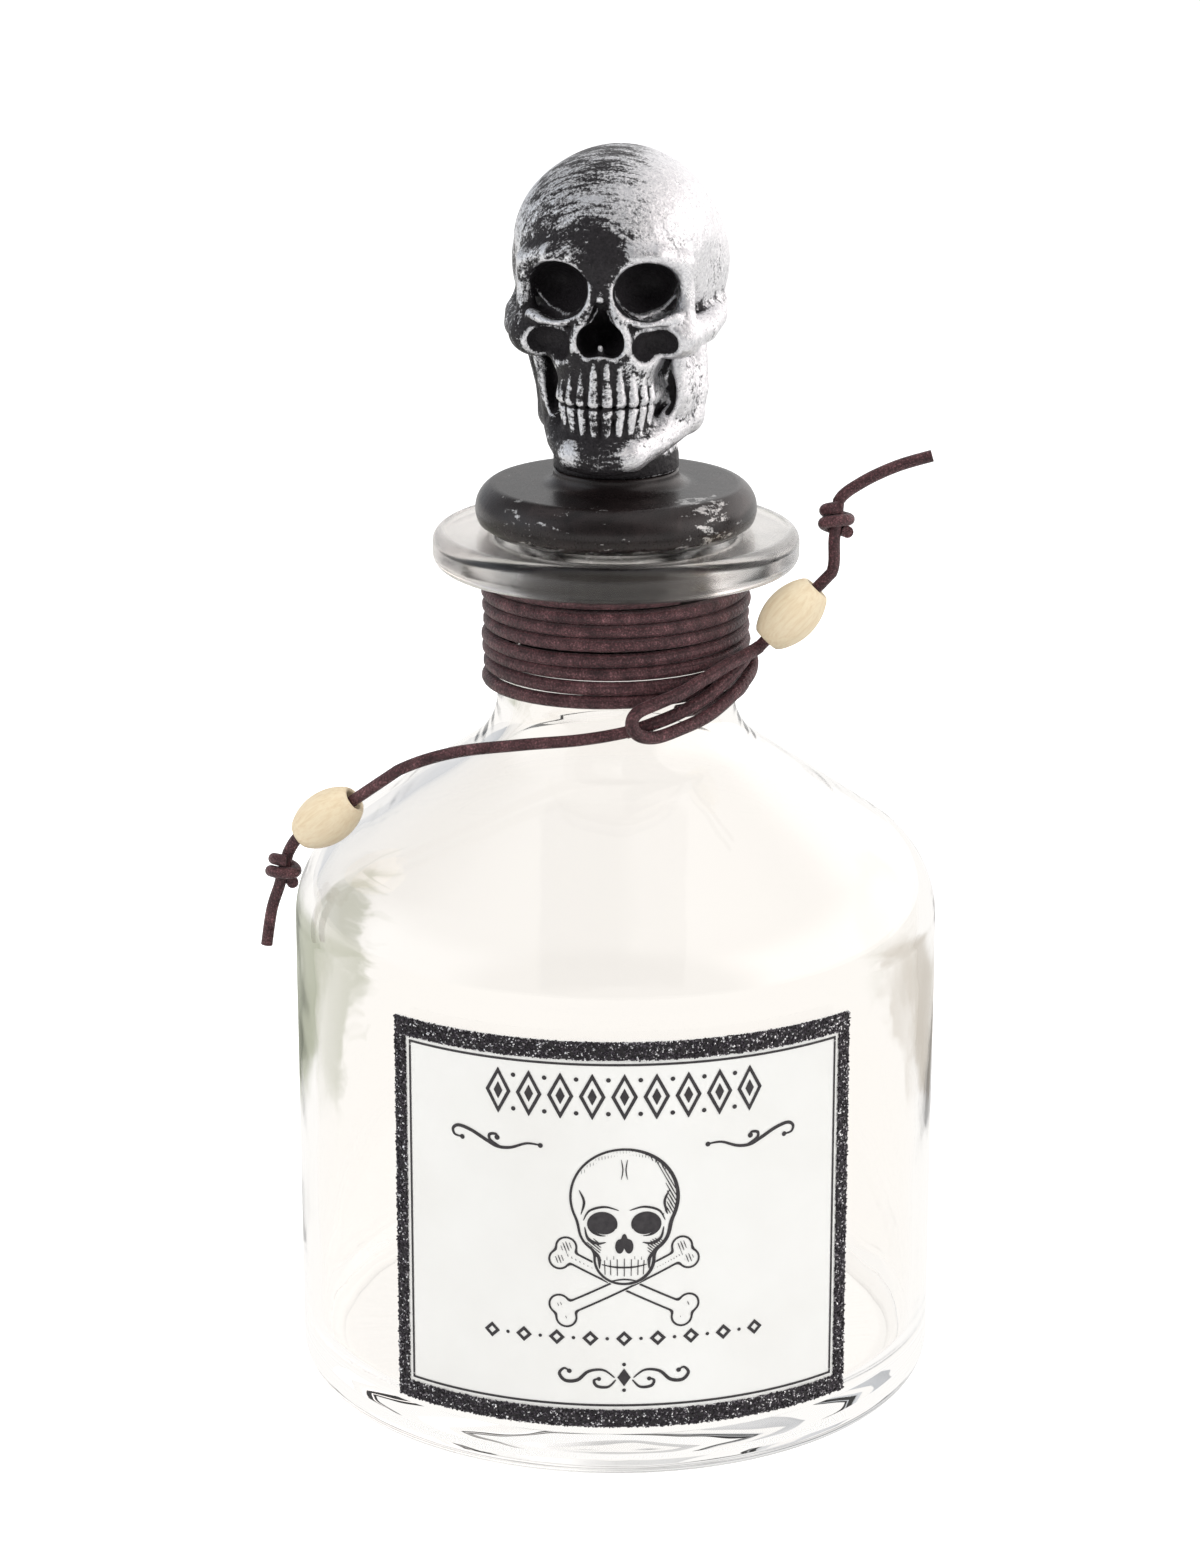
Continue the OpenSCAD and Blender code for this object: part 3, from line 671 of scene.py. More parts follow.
def clear_glass():
    material, tree, shader = new_material("clear_glass")
    shader.inputs["Transmission Weight"].default_value = 1.0
    shader.inputs["IOR"].default_value = 1.47
    shader.inputs["Specular IOR Level"].default_value = 0.2
    spot = place(tree)
    # The lip is a little dull, and its glass is tinted darker: a painted reflection of the black stopper
    # that sits in it
    above_neck = math_node(tree, "SUBTRACT", split(tree, spot)["Z"], LIP_UNDERSIDE - 1)
    lip_dull_and_painted_reflection = ramp(tree, above_neck, [(0.0, 0.0), (1.0, 1.0)])
    shade = mixed(tree, lip_dull_and_painted_reflection, (1, 0.986, 0.967, 1), (0.93, 0.9, 0.87, 1), "RGBA")
    # Blown glass is never quite even: long soft waves run up the wall
    waves = noise(tree, spot, 0.035, 2.0, 0.5)
    normal = bump(tree, waves, 0.25, 0.0012)
    dress(tree, shader, base_color=shade, roughness=times(tree, lip_dull_and_painted_reflection, 0.19), normal=normal)
    return material


bottle = lathe("glass_bottle_blown", glass_outline(), 256)
bottle.data.materials.append(clear_glass())
bottle.visible_shadow = False
fit(bottle, "bottle", "glass_bottle")


# Label
# White paper glued round the front of the body. A raised frame of coarse black grit with silver
# specks runs round its edge, and inside it everything is printed in one black ink.
LABEL_HALF_TURN = radians(42)
LABEL_TURN = radians(1.3)
LABEL_Z = 10.5
LABEL_H = 67.4
PAPER_T = 0.3
GLUE = 0.02
BORDER_SIDE = 2.3
BORDER_END = 3.1
BED_T = 0.32
BED_INSET = 0.12
LINE_GAP = 0.6
LINE_W = 0.4
PAPER_R = BODY_R + GLUE
PRINT_R = PAPER_R + PAPER_T + 0.01
INK_T = 0.06
LABEL_HALF = BODY_R * LABEL_HALF_TURN


def wrapped(x, y, r):
    """A point of the label, x along the curve from its middle and y up from its lower edge."""
    a = x / BODY_R + LABEL_TURN
    return (r * np.sin(a) * MM, -r * np.cos(a) * MM, (LABEL_Z + y) * MM)


def label_piece(name, verts, faces, node, material):
    mesh = bpy.data.meshes.new(name)
    mesh.from_pydata([tuple(v) for v in verts], [], faces)
    mesh.materials.append(material)
    return fit(new_piece(name, mesh), "bottle", node)


def paper():
    material, tree, shader = new_material("label_paper")
    spot = place(tree)
    fibre = noise(tree, spot, 1.6, 6.0, 0.7)
    cloud = noise(tree, spot, 0.05, 3.0)
    colour = ramp(tree, cloud, [(0.3, (0.84, 0.83, 0.8)), (0.7, (0.88, 0.875, 0.85))])
    shader.inputs["Roughness"].default_value = 0.75
    dress(tree, shader, base_color=colour, normal=bump(tree, fibre, 0.15, 0.00006))
    return material


def label_sheet():
    columns, rows = 120, 12
    verts, faces = [], []
    for r in (PAPER_R, PAPER_R + PAPER_T):
        for j in range(rows + 1):
            for i in range(columns + 1):
                x = LABEL_HALF * (2 * i / columns - 1)
                verts.append(wrapped(x, LABEL_H * j / rows, r))
    wide = columns + 1
    layer = wide * (rows + 1)
    for j in range(rows):
        for i in range(columns):
            a = j * wide + i
            faces.append((a + wide, a + wide + 1, a + 1, a))
            faces.append((layer + a, layer + a + 1, layer + a + wide + 1, layer + a + wide))
    edge = list(range(wide)) + [wide - 1 + wide * j for j in range(1, rows + 1)]
    edge += [wide * rows + i for i in range(wide - 2, -1, -1)] + [wide * j for j in range(rows - 1, 0, -1)]
    for a, b in zip(edge, edge[1:] + edge[:1]):
        faces.append((a, b, b + layer, a + layer))
    label_piece("label_sheet", verts, faces, "label_paper", paper())


label_sheet()


def glitter():
    material, tree, shader = new_material("black_grit")
    shine = attribute(tree, "sparkle")
    shades = [(0.0, (0.008, 0.006, 0.008)), (0.45, (0.022, 0.017, 0.024)), (0.72, (0.055, 0.045, 0.058)),
              (0.86, (0.3, 0.28, 0.3)), (0.95, (0.85, 0.85, 0.86))]
    rough = ramp(tree, shine, [(0.6, 0.5), (0.9, 0.18)])
    metal = ramp(tree, shine, [(0.6, 0.0), (0.9, 0.9)])
    dress(tree, shader, base_color=ramp(tree, shine, shades), roughness=rough, metallic=metal)
    return material


def grit_tree():
    """Geometry nodes that scatter faceted grains over a surface and keep the surface below them."""
    tree = bpy.data.node_groups.new("scattered_grit", "GeometryNodeTree")
    group_input(tree, "Bed", "NodeSocketGeometry")
    group_input(tree, "Grains per square metre", "NodeSocketFloat", 9.6e6)
    group_input(tree, "Grain radius", "NodeSocketFloat", 0.26 * MM)
    group_input(tree, "Seed", "NodeSocketInt", 7)
    group_input(tree, "Grit", "NodeSocketMaterial")
    tree.interface.new_socket("Mesh", in_out="OUTPUT", socket_type="NodeSocketGeometry")
    given, out = add(tree, "NodeGroupInput"), add(tree, "NodeGroupOutput")
    scatter = add(tree, "GeometryNodeDistributePointsOnFaces")
    link(tree, given.outputs["Bed"], scatter.inputs["Mesh"])
    link(tree, given.outputs["Grains per square metre"], scatter.inputs["Density"])
    link(tree, given.outputs["Seed"], scatter.inputs["Seed"])
    grain = add(tree, "GeometryNodeMeshIcoSphere", Subdivisions=1)
    link(tree, given.outputs["Grain radius"], grain.inputs["Radius"])
    turn = add(tree, "FunctionNodeRandomValue", data_type="FLOAT_VECTOR")
    turn.inputs["Max"].default_value = (2 * pi, 2 * pi, 2 * pi)
    size = add(tree, "FunctionNodeRandomValue", data_type="FLOAT_VECTOR")
    size.inputs["Min"].default_value = (0.45, 0.7, 0.3)
    size.inputs["Max"].default_value = (1.15, 1.45, 0.8)
    shine = add(tree, "FunctionNodeRandomValue", data_type="FLOAT")
    for part, shift in ((turn, 1), (size, 2), (shine, 3)):
        part.inputs["Seed"].default_value = shift
    spread = add(tree, "GeometryNodeInstanceOnPoints")
    link(tree, scatter.outputs["Points"], spread.inputs["Points"])
    link(tree, grain.outputs["Mesh"], spread.inputs["Instance"])
    link(tree, turn.outputs["Value"], spread.inputs["Rotation"])
    link(tree, size.outputs["Value"], spread.inputs["Scale"])
    keep = add(tree, "GeometryNodeStoreNamedAttribute", data_type="FLOAT", domain="INSTANCE")
    keep.inputs["Name"].default_value = "sparkle"
    link(tree, spread.outputs[0], keep.inputs["Geometry"])
    link(tree, shine.outputs[1], keep.inputs["Value"])
    real = add(tree, "GeometryNodeRealizeInstances")
    link(tree, keep.outputs[0], real.inputs[0])
    both = add(tree, "GeometryNodeJoinGeometry")
    link(tree, real.outputs[0], both.inputs[0])
    link(tree, given.outputs["Bed"], both.inputs[0])
    finish = add(tree, "GeometryNodeSetMaterial")
    link(tree, both.outputs[0], finish.inputs["Geometry"])
    link(tree, given.outputs["Grit"], finish.inputs["Material"])
    link(tree, finish.outputs[0], out.inputs[0])
    return tree


def border():
    """A flat frame of grit on the paper, with the loose grains standing a little proud."""
    bed, faces = [], []

    def strip(x0, x1, y0, y1, count):
        for k in range(count):
            a = x0 + (x1 - x0) * k / count
            b = x0 + (x1 - x0) * (k + 1) / count
            n = len(bed)
            for r in (PRINT_R, PRINT_R + BED_T):
                bed.extend(wrapped(x, y, r) for x, y in ((a, y0), (b, y0), (b, y1), (a, y1)))
            faces.append((n + 4, n + 5, n + 6, n + 7))
            faces.append((n, n + 1, n + 5, n + 4))
            faces.append((n + 2, n + 3, n + 7, n + 6))
            if k == 0:
                faces.append((n + 3, n, n + 4, n + 7))
            if k == count - 1:
                faces.append((n + 1, n + 2, n + 6, n + 5))

    side = LABEL_HALF - BED_INSET
    inner_side = LABEL_HALF - BORDER_SIDE + BED_INSET
    low, high = BORDER_END - BED_INSET, LABEL_H - BORDER_END + BED_INSET
    strip(-side, side, BED_INSET, low, 90)
    strip(-side, side, high, LABEL_H - BED_INSET, 90)
    strip(-side, -inner_side, low, high, 3)
    strip(inner_side, side, low, high, 3)
    start = bpy.data.meshes.new("grit_bed")
    start.from_pydata([tuple(v) for v in bed], [], faces)
    piece = plain_mesh("label_grit_border", start, grit_tree(), {"Grit": glitter()})
    fit(piece, "bottle", "label_border")


border()


# Label print
# Everything inside the frame is one dark ink, printed flat on the paper: a fine rule, rows of
# lozenges, scrolls, and a plain old-fashioned skull on crossed bones, shaded with engraved lines.
INK_STEP = 0.1
ROW_HALF = 22
TOP_ROW_Y = 58
LOW_ROW_Y = 15.8
FOOT_Y = 8.9
EMBLEM_Y = 35
ROW_COUNT = 9
TOP_ROW_HALF = ROW_HALF * 0.94


def egg(p, centre, radii):
    """Distance from points to an ellipse or an ellipsoid, near enough close to its edge."""
    q = (p - np.array(centre)) / np.array(radii)
    a = np.sqrt((q * q).sum(-1)) + 1e-9
    q = q / np.array(radii)
    return a * (a - 1) / (np.sqrt((q * q).sum(-1)) + 1e-9)


def rod(p, a, b, ra, rb):
    """Distance from points to a round-ended rod or line that changes its radius from a to b."""
    a, d = np.array(a), np.array(b) - np.array(a)
    h = np.clip((p - a) @ d / (d @ d), 0, 1)
    return np.linalg.norm(p - a - h[..., None] * d, axis=-1) - (ra + (rb - ra) * h)


def rods(p, points, radii):
    found = rod(p, points[0], points[1], radii[0], radii[1])
    for i in range(1, len(points) - 1):
        found = np.minimum(found, rod(p, points[i], points[i + 1], radii[i], radii[i + 1]))
    return found


def blend(a, b, k):
    h = np.maximum(k - np.abs(a - b), 0) / k
    return np.minimum(a, b) - h * h * k / 4


def least(*fields):
    found = fields[0]
    for field in fields[1:]:
        found = np.minimum(found, field)
    return found


def pen(p, points, thin, thick, steps=6):
    """A smooth pen stroke through points that swells from thin at its ends to thick."""
    points = [np.array(q, float) for q in points]
    line = []
    for i in range(len(points) - 1):
        a, b, c = points[max(i - 1, 0)], points[i], points[i + 1]
        d = points[min(i + 2, len(points) - 1)]
        for k in range(steps):
            t = k / steps
            line.append(curve_point(a, b, c, d, t))
    line.append(points[-1])
    swell = [(thin + (thick - thin) * sin(pi * i / (len(line) - 1))) / 2 for i in range(len(line))]
    return rods(p, line, swell)


def hatch(p, zone, angle, pitch, width):
    """Engraved lines across a zone, thickest where the zone is deepest."""
    across = p[..., 0] * sin(radians(angle)) + p[..., 1] * cos(radians(angle))
    from_line = np.abs((across / pitch + 0.5) % 1 - 0.5) * pitch
    depth = np.clip(-zone / 1.2, 0, 1)
    return np.maximum(from_line - width * (0.35 + 0.65 * depth) / 2, zone)


def mirrored(p):
    q = p.copy()
    q[..., 0] = np.abs(q[..., 0])
    return q


def lozenge(p, x, y, half_w, half_h):
    return (np.abs(p[..., 0] - x) / half_w + np.abs(p[..., 1] - y) / half_h - 1) * half_w * 0.8


def top_row(p):
    """Tall lozenges, each with a solid heart, with a pair of points between."""
    found = np.full(p.shape[:-1], 9.0)
    for i in range(ROW_COUNT):
        x = TOP_ROW_HALF * (2 * i / (ROW_COUNT - 1) - 1)
        outer = lozenge(p, x, TOP_ROW_Y, 2.15, 4)
        ring = np.maximum(outer, -lozenge(p, x, TOP_ROW_Y, 1.5, 2.9))
        found = least(found, ring, lozenge(p, x, TOP_ROW_Y, 0.75, 1.5))
        if i < ROW_COUNT - 1:
            middle = x + TOP_ROW_HALF / (ROW_COUNT - 1)
            for side in (-2.9, 2.9):
                found = least(found, egg(p, (middle, TOP_ROW_Y + side), (0.38, 0.38)))
    return found


def side_scroll(p):
    q = mirrored(p) - np.array([20.8, 49.4])
    main = pen(q, [(6.4, -0.5), (7.7, -0.3), (8, 0.7), (6.9, 1.4), (4.6, 0.9), (1.9, -0.4), (0, -1.2),
                   (-2.2, -1.1), (-4.9, -0.1), (-7.2, -0.2)], 0.28, 0.62)
    curl = pen(q, [(-0.4, -1.1), (1.3, -0.2), (1.4, 0.7), (0.3, 0.9), (0, 0.2)], 0.2, 0.5)
    return least(main, curl, egg(q, (6.3, -0.5), (0.42, 0.42)), egg(q, (-7.2, -0.25), (0.42, 0.42)),
                 egg(q, (0.1, 0.35), (0.45, 0.45)))


def low_row(p):
    found = np.full(p.shape[:-1], 9.0)
    for i in range(ROW_COUNT):
        x = ROW_HALF * (2 * i / (ROW_COUNT - 1) - 1)
        outer = lozenge(p, x, LOW_ROW_Y, 1.35, 1.35)
        found = least(found, np.maximum(outer, -lozenge(p, x, LOW_ROW_Y, 0.62, 0.62)))
        if i < ROW_COUNT - 1:
            found = least(found, egg(p, (x + ROW_HALF / (ROW_COUNT - 1), LOW_ROW_Y), (0.3, 0.3)))
    return found


def foot_scroll(p):
    q = mirrored(p) - np.array([0, FOOT_Y])
    main = pen(q, [(1.6, 0), (3.4, 1.3), (5.8, 1), (7.6, -0.6), (9.6, -0.8), (10.6, 0.4), (9.8, 1.4),
                   (8.9, 0.9)], 0.22, 0.6)
    under = pen(q, [(1.4, -0.5), (2.6, -1.7), (4.4, -1.6), (4.9, -0.6), (4, -0.2)], 0.22, 0.52)
    dots = [((0, 2.3), 0.32), ((0, -2.3), 0.32), ((8.95, 0.95), 0.4), ((4.1, -0.3), 0.36)]
    return least(main, under, lozenge(q, 0, 0, 1.1, 1.6), *[egg(q, spot, (r, r)) for spot, r in dots])


def bone(p, lean):
    """A long bone through the origin, with two knuckles at each end."""
    c, s = cos(radians(lean)), sin(radians(lean))
    found = rod(p, (-10.5 * c, -10.5 * s), (10.5 * c, 10.5 * s), 1, 1)
    for end in (-1, 1):
        for knuckle in (-1, 1):
            centre = (end * 11.2 * c - knuckle * 1.25 * s, end * 11.2 * s + knuckle * 1.25 * c)
            found = blend(found, egg(p, centre, (1.65, 1.65)), 0.8)
    return found


def bone_underside(shape, b):
    """The part of a bone near its lower edge, where the hatching goes."""
    return np.minimum(-(shape + 1.05), 0.4) + 0.05 * b[..., 1]


def emblem(p):
    q = p - np.array([0, EMBLEM_Y])
    m = mirrored(q)
    head = blend(egg(q, (0, 5.6), (8.7, 8.4)), egg(q, (0, -0.2), (7.2, 4.6)), 1.5)
    head = blend(head, egg(q, (0, -5.1), (4.8, 4.4)), 1.2)
    line = np.abs(head) - 0.2 - 0.1 * np.clip(q[..., 0] / 6, 0, 1)
    eye = egg(m, (3.55, 1), (2.45, 2.15))
    glint = egg(m, (3, 0.1), (1.7, 1.1))
    nose = blend(egg(m, (0.75, -2.9), (0.72, 1.25)), egg(m, (0, -1.9), (0.5, 1.2)), 0.4)
    drawn = least(line, np.maximum(eye, -np.maximum(glint, -egg(m, (3.2, 0.7), (1.9, 1.5)))), nose)
    # Brows, cheek bones, temples and the jaw in single strokes
    drawn = least(
        drawn,
        pen(m, [(0.9, 3.4), (3.2, 4), (5.6, 3.3), (6.6, 1.6)], 0.12, 0.4),
        pen(m, [(6.4, 0.4), (5.9, -1.5), (4.4, -2.4), (3, -2.2)], 0.12, 0.5),
        pen(m, [(7.3, 6.8), (6.5, 4.8), (7, 2.6)], 0.1, 0.42),
        pen(m, [(4.9, -3.6), (4.1, -5), (4, -6.8)], 0.12, 0.55),
        pen(m, [(0.5, 12.2), (0.25, 10.4), (0.5, 8.8)], 0.08, 0.2),
        pen(q, [(-3.6, -6.1), (-1.8, -6.5), (0, -6.6), (1.8, -6.5), (3.6, -6.1)], 0.15, 0.32),
        pen(q, [(-2.2, -9), (0, -8.7), (2.2, -9)], 0.1, 0.3),
    )
    for x in (0, 1.15, 2.25, 3.2):
        reach = 1.55 - 0.1 * x
        drawn = least(drawn, rod(m, (x, -6.6 + reach), (x * 0.97, -6.6 - reach), 0.07, 0.07),
                      rod(m, (x + 0.55, -6.6 + reach), (x + 0.56, -6 + reach), 0.05, 0.03))
    # Shading: lines round the side of the skull away from the light, and under the cheeks
    side = np.maximum(head + 0.25, -egg(q, (-1.1, 5.9), (8, 8.6)))
    side = np.maximum(side, 2.6 - q[..., 1])
    under = np.maximum(egg(m, (5.2, -3.2), (1.5, 1.7)), head + 0.3)
    top = np.maximum(np.maximum(head + 0.3, -egg(q, (0.3, 4.6), (8.6, 8.3))), 9 - q[..., 1])
    drawn = least(drawn, hatch(q, side, 62, 0.46, 0.3), hatch(q, under, 40, 0.4, 0.32))
    drawn = least(drawn, hatch(q, top, 85, 0.5, 0.16))
    # The bones lie behind the skull, one over the other
    b = q - np.array([0, -9.4])
    over, below = bone(b, 27), bone(b, -27)
    clear = 0.35 - head
    for shape, hidden in ((over, clear), (below, np.maximum(clear, 0.3 - over))):
        shade = np.maximum(shape + 0.2, -bone_underside(shape, b))
        bone_lines = least(np.abs(shape) - 0.17, hatch(b, shade, 70, 0.5, 0.26))
        drawn = np.minimum(drawn, np.maximum(bone_lines, hidden))
    return drawn


def rule(p):
    """A fine line round the label inside the frame."""
    half_w = LABEL_HALF - BORDER_SIDE - LINE_GAP - LINE_W / 2
    half_h = LABEL_H / 2 - BORDER_END - LINE_GAP - LINE_W / 2
    box = np.maximum(np.abs(p[..., 0]) - half_w, np.abs(p[..., 1] - LABEL_H / 2) - half_h)
    return np.abs(box) - LINE_W / 2


def print_area(field, x0, x1, y0, y1, verts, faces):
    """Adds the outline of a drawing, found in small squares, to a mesh on the label's face."""
    xs = np.arange(x0, x1, INK_STEP)
    ys = np.arange(y0, y1, INK_STEP)
    grid = np.stack(np.meshgrid(xs, ys, indexing="ij"), -1)
    value = field(grid)
    corners = ((0, 0), (1, 0), (1, 1), (0, 1))
    cells = [value[i:len(xs) - 1 + i, j:len(ys) - 1 + j] for i, j in corners]
    count = sum((cell < 0).astype(int) for cell in cells)
    for i, j in np.argwhere(count > 0):
        ring = []
        for a, b in zip(corners, corners[1:] + corners[:1]):
            va, vb = value[i + a[0], j + a[1]], value[i + b[0], j + b[1]]
            pa, pb = grid[i + a[0], j + a[1]], grid[i + b[0], j + b[1]]
            if va < 0:
                ring.append(pa)
            if (va < 0) != (vb < 0):
                ring.append(pa + (pb - pa) * va / (va - vb))
        faces.append(tuple(range(len(verts), len(verts) + len(ring))))
        verts += [wrapped(x, y, PRINT_R + INK_T) for x, y in ring]


def ink():
    material, tree, shader = new_material("label_ink")
    spot = place(tree)
    patch = noise(tree, spot, 1.2, 5.0, 0.6)
    colour = ramp(tree, patch, [(0.3, (0.018, 0.015, 0.018)), (0.75, (0.05, 0.045, 0.048))])
    dress(tree, shader, base_color=colour, roughness=ramp(tree, patch, [(0.3, 0.5), (0.7, 0.65)]))
    return material


def label_print():
    verts, faces = [], []
    print_area(top_row, -ROW_HALF - 1.5, ROW_HALF + 1.5, TOP_ROW_Y - 4.6, TOP_ROW_Y + 4.6, verts, faces)
    print_area(side_scroll, 12.6, 30, 47, 52, verts, faces)
    print_area(side_scroll, -30, -12.6, 47, 52, verts, faces)
    print_area(emblem, -14, 14, EMBLEM_Y - 18, EMBLEM_Y + 14.8, verts, faces)
    print_area(low_row, -ROW_HALF - 2, ROW_HALF + 2, LOW_ROW_Y - 1.8, LOW_ROW_Y + 1.8, verts, faces)
    print_area(foot_scroll, -12, 12, FOOT_Y - 3.2, FOOT_Y + 3.2, verts, faces)
    edge_x, edge_y = LABEL_HALF - BORDER_SIDE - 1.4, BORDER_END + 1.4
    print_area(rule, -edge_x - 1, -edge_x, edge_y, LABEL_H - edge_y, verts, faces)
    print_area(rule, edge_x, edge_x + 1, edge_y, LABEL_H - edge_y, verts, faces)
    print_area(rule, -edge_x - 1, edge_x + 1, edge_y - 1, edge_y, verts, faces)
    print_area(rule, -edge_x - 1, edge_x + 1, LABEL_H - edge_y, LABEL_H - edge_y + 1, verts, faces)
    piece = label_piece("label_ink", verts, faces, "label_print", ink())
    merged(piece.data, 1e-6)


label_print()


# Plug, seals and dowel
# A cast plug of the same black resin hangs under the stopper in the neck, with two soft silicone
# rings that grip the glass. A steel dowel runs up through plug and disc into the skull.
def resin():
    """Black cast resin with faint swirls."""
    material, tree, shader = new_material("black_resin")
    spot = place(tree)
    cloud = noise(tree, spot, 0.22, 4.0, 0.6, 0.6)
    fine = noise(tree, spot, 2.6, 5.0, 0.65)
    colour = ramp(tree, cloud, [(0.3, (0.011, 0.009, 0.009)), (0.55, (0.022, 0.018, 0.018)),
                                (0.8, (0.045, 0.036, 0.035))])
    rough = ramp(tree, fine, [(0.3, 0.3), (0.7, 0.44)])
    normal = bump(tree, plus(tree, cloud, times(tree, fine, 0.25)), 0.25, 0.0001)
    dress(tree, shader, base_color=colour, roughness=rough, normal=normal)
    return material


def silicone():
    material, tree, shader = new_material("smoked_silicone")
    haze = noise(tree, place(tree), 1.5, 4.0)
    colour = ramp(tree, haze, [(0.3, (0.05, 0.045, 0.042)), (0.7, (0.085, 0.078, 0.073))])
    rough = ramp(tree, haze, [(0.3, 0.32), (0.7, 0.46)])
    shader.inputs["Subsurface Weight"].default_value = 0.35
    shader.inputs["Subsurface Radius"].default_value = (0.002, 0.002, 0.002)
    dress(tree, shader, base_color=colour, roughness=rough, normal=bump(tree, haze, 0.15, 0.00008))
    return material


def steel():
    material, tree, shader = new_material("drawn_steel")
    stretched = add(tree, "ShaderNodeMapping", Scale=(4, 4, 0.15))
    link(tree, place(tree), stretched.inputs["Vector"])
    lines = noise(tree, stretched.outputs[0], 1.5, 4.0)
    colour = ramp(tree, lines, [(0.3, (0.5, 0.5, 0.51)), (0.7, (0.64, 0.64, 0.65))])
    rough = ramp(tree, lines, [(0.3, 0.22), (0.7, 0.34)])
    shader.inputs["Metallic"].default_value = 1.0
    dress(tree, shader, base_color=colour, roughness=rough, normal=bump(tree, lines, 0.15, 0.00005))
    return material


def finish_node(node, material):
    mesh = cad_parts[node].data
    mesh.materials.clear()
    mesh.materials.append(material)


smoked_silicone = silicone()
finish_node("plug", resin())
finish_node("upper_seal_ring", smoked_silicone)
finish_node("lower_seal_ring", smoked_silicone)
finish_node("dowel", steel())


# Stopper disc
# A smooth black resin pebble, 47 mm across, that rests on the bottle's lip, with a low round
# collar for the skull. Handling has rubbed a little of the skull's silver onto its edge.
DISC_Z = MOUTH_Z + 0.05
DISC_R = 23.6
DISC_T = 7.6
DISC_TOP = DISC_Z + DISC_T
COLLAR_R = 10.5
SKULL_Z = DISC_TOP + 2.6
DOWEL_R = 3.05
COLLAR_FLARE = 2.2
COLLAR_FLARE_H = 1.8


def silver_tree():
    """A group of nodes that lays silver over resin where a mask says so."""
    tree = bpy.data.node_groups.new("silver_over_resin", "ShaderNodeTree")
    group_input(tree, "Mask", "NodeSocketFloat")
    for name in ("Resin", "Silver"):
        group_input(tree, name, "NodeSocketColor")
        group_input(tree, name + " roughness", "NodeSocketFloat")
    tree.interface.new_socket("Color", in_out="OUTPUT", socket_type="NodeSocketColor")
    tree.interface.new_socket("Roughness", in_out="OUTPUT", socket_type="NodeSocketFloat")
    given, out = add(tree, "NodeGroupInput").outputs, add(tree, "NodeGroupOutput")
    colour = mixed(tree, given["Mask"], given["Resin"], given["Silver"], "RGBA")
    rough = mixed(tree, given["Mask"], given["Resin roughness"], given["Silver roughness"])
    link(tree, colour, out.inputs["Color"])
    link(tree, rough, out.inputs["Roughness"])
    return tree


silver_over_resin = silver_tree()


def rubbed(tree, shader, mask_value, resin_looks, silver_looks):
    """Feeds a shader from the silver group. Looks are a colour and a roughness."""
    group = add(tree, "ShaderNodeGroup", node_tree=silver_over_resin)
    given = zip(("Mask", "Resin", "Resin roughness", "Silver", "Silver roughness"),
                (mask_value, *resin_looks, *silver_looks))
    for name, value in given:
        link(tree, value, group.inputs[name])
    outputs = group.outputs
    dress(tree, shader, base_color=outputs["Color"], roughness=outputs["Roughness"], metallic=mask_value)


def worn_resin():
    material, tree, shader = new_material("worn_black_resin")
    spot = place(tree)
    cloud = noise(tree, spot, 0.16, 4.0, 0.6, 0.8)
    fine = noise(tree, spot, 2.4, 6.0, 0.7)
    base = ramp(tree, cloud, [(0.3, (0.009, 0.007, 0.007)), (0.55, (0.018, 0.013, 0.013)),
                              (0.8, (0.045, 0.033, 0.032))])
    # Scuffs lie round the edge of the pebble, in short strokes along it
    around = attribute(tree, "brush", "Vector")
    strokes = noise(tree, around, 1.0, 5.0, 0.62, 0.3)
    amount = plus(tree, strokes, attribute(tree, "worn"))
    amount = plus(tree, amount, times(tree, fine, 0.3))
    mask_value = ramp(tree, times(tree, amount, 0.7), [(0.0, 0.0), (0.64, 0.0), (0.68, 1.0)])
    thin_silver = times(tree, mask_value, 0.85)
    silver = ramp(tree, fine, [(0.3, (0.4, 0.39, 0.39)), (0.7, (0.72, 0.71, 0.7))])
    resin_rough = ramp(tree, fine, [(0.3, 0.24), (0.75, 0.36)])
    silver_rough = ramp(tree, fine, [(0.3, 0.26), (0.7, 0.4)])
    rubbed(tree, shader, thin_silver, (base, resin_rough), (silver, silver_rough))
    shader.inputs["Specular IOR Level"].default_value = 0.38
    height = plus(tree, cloud, times(tree, fine, 0.2))
    dress(tree, shader, normal=bump(tree, height, 0.35, 0.00018))
    return material


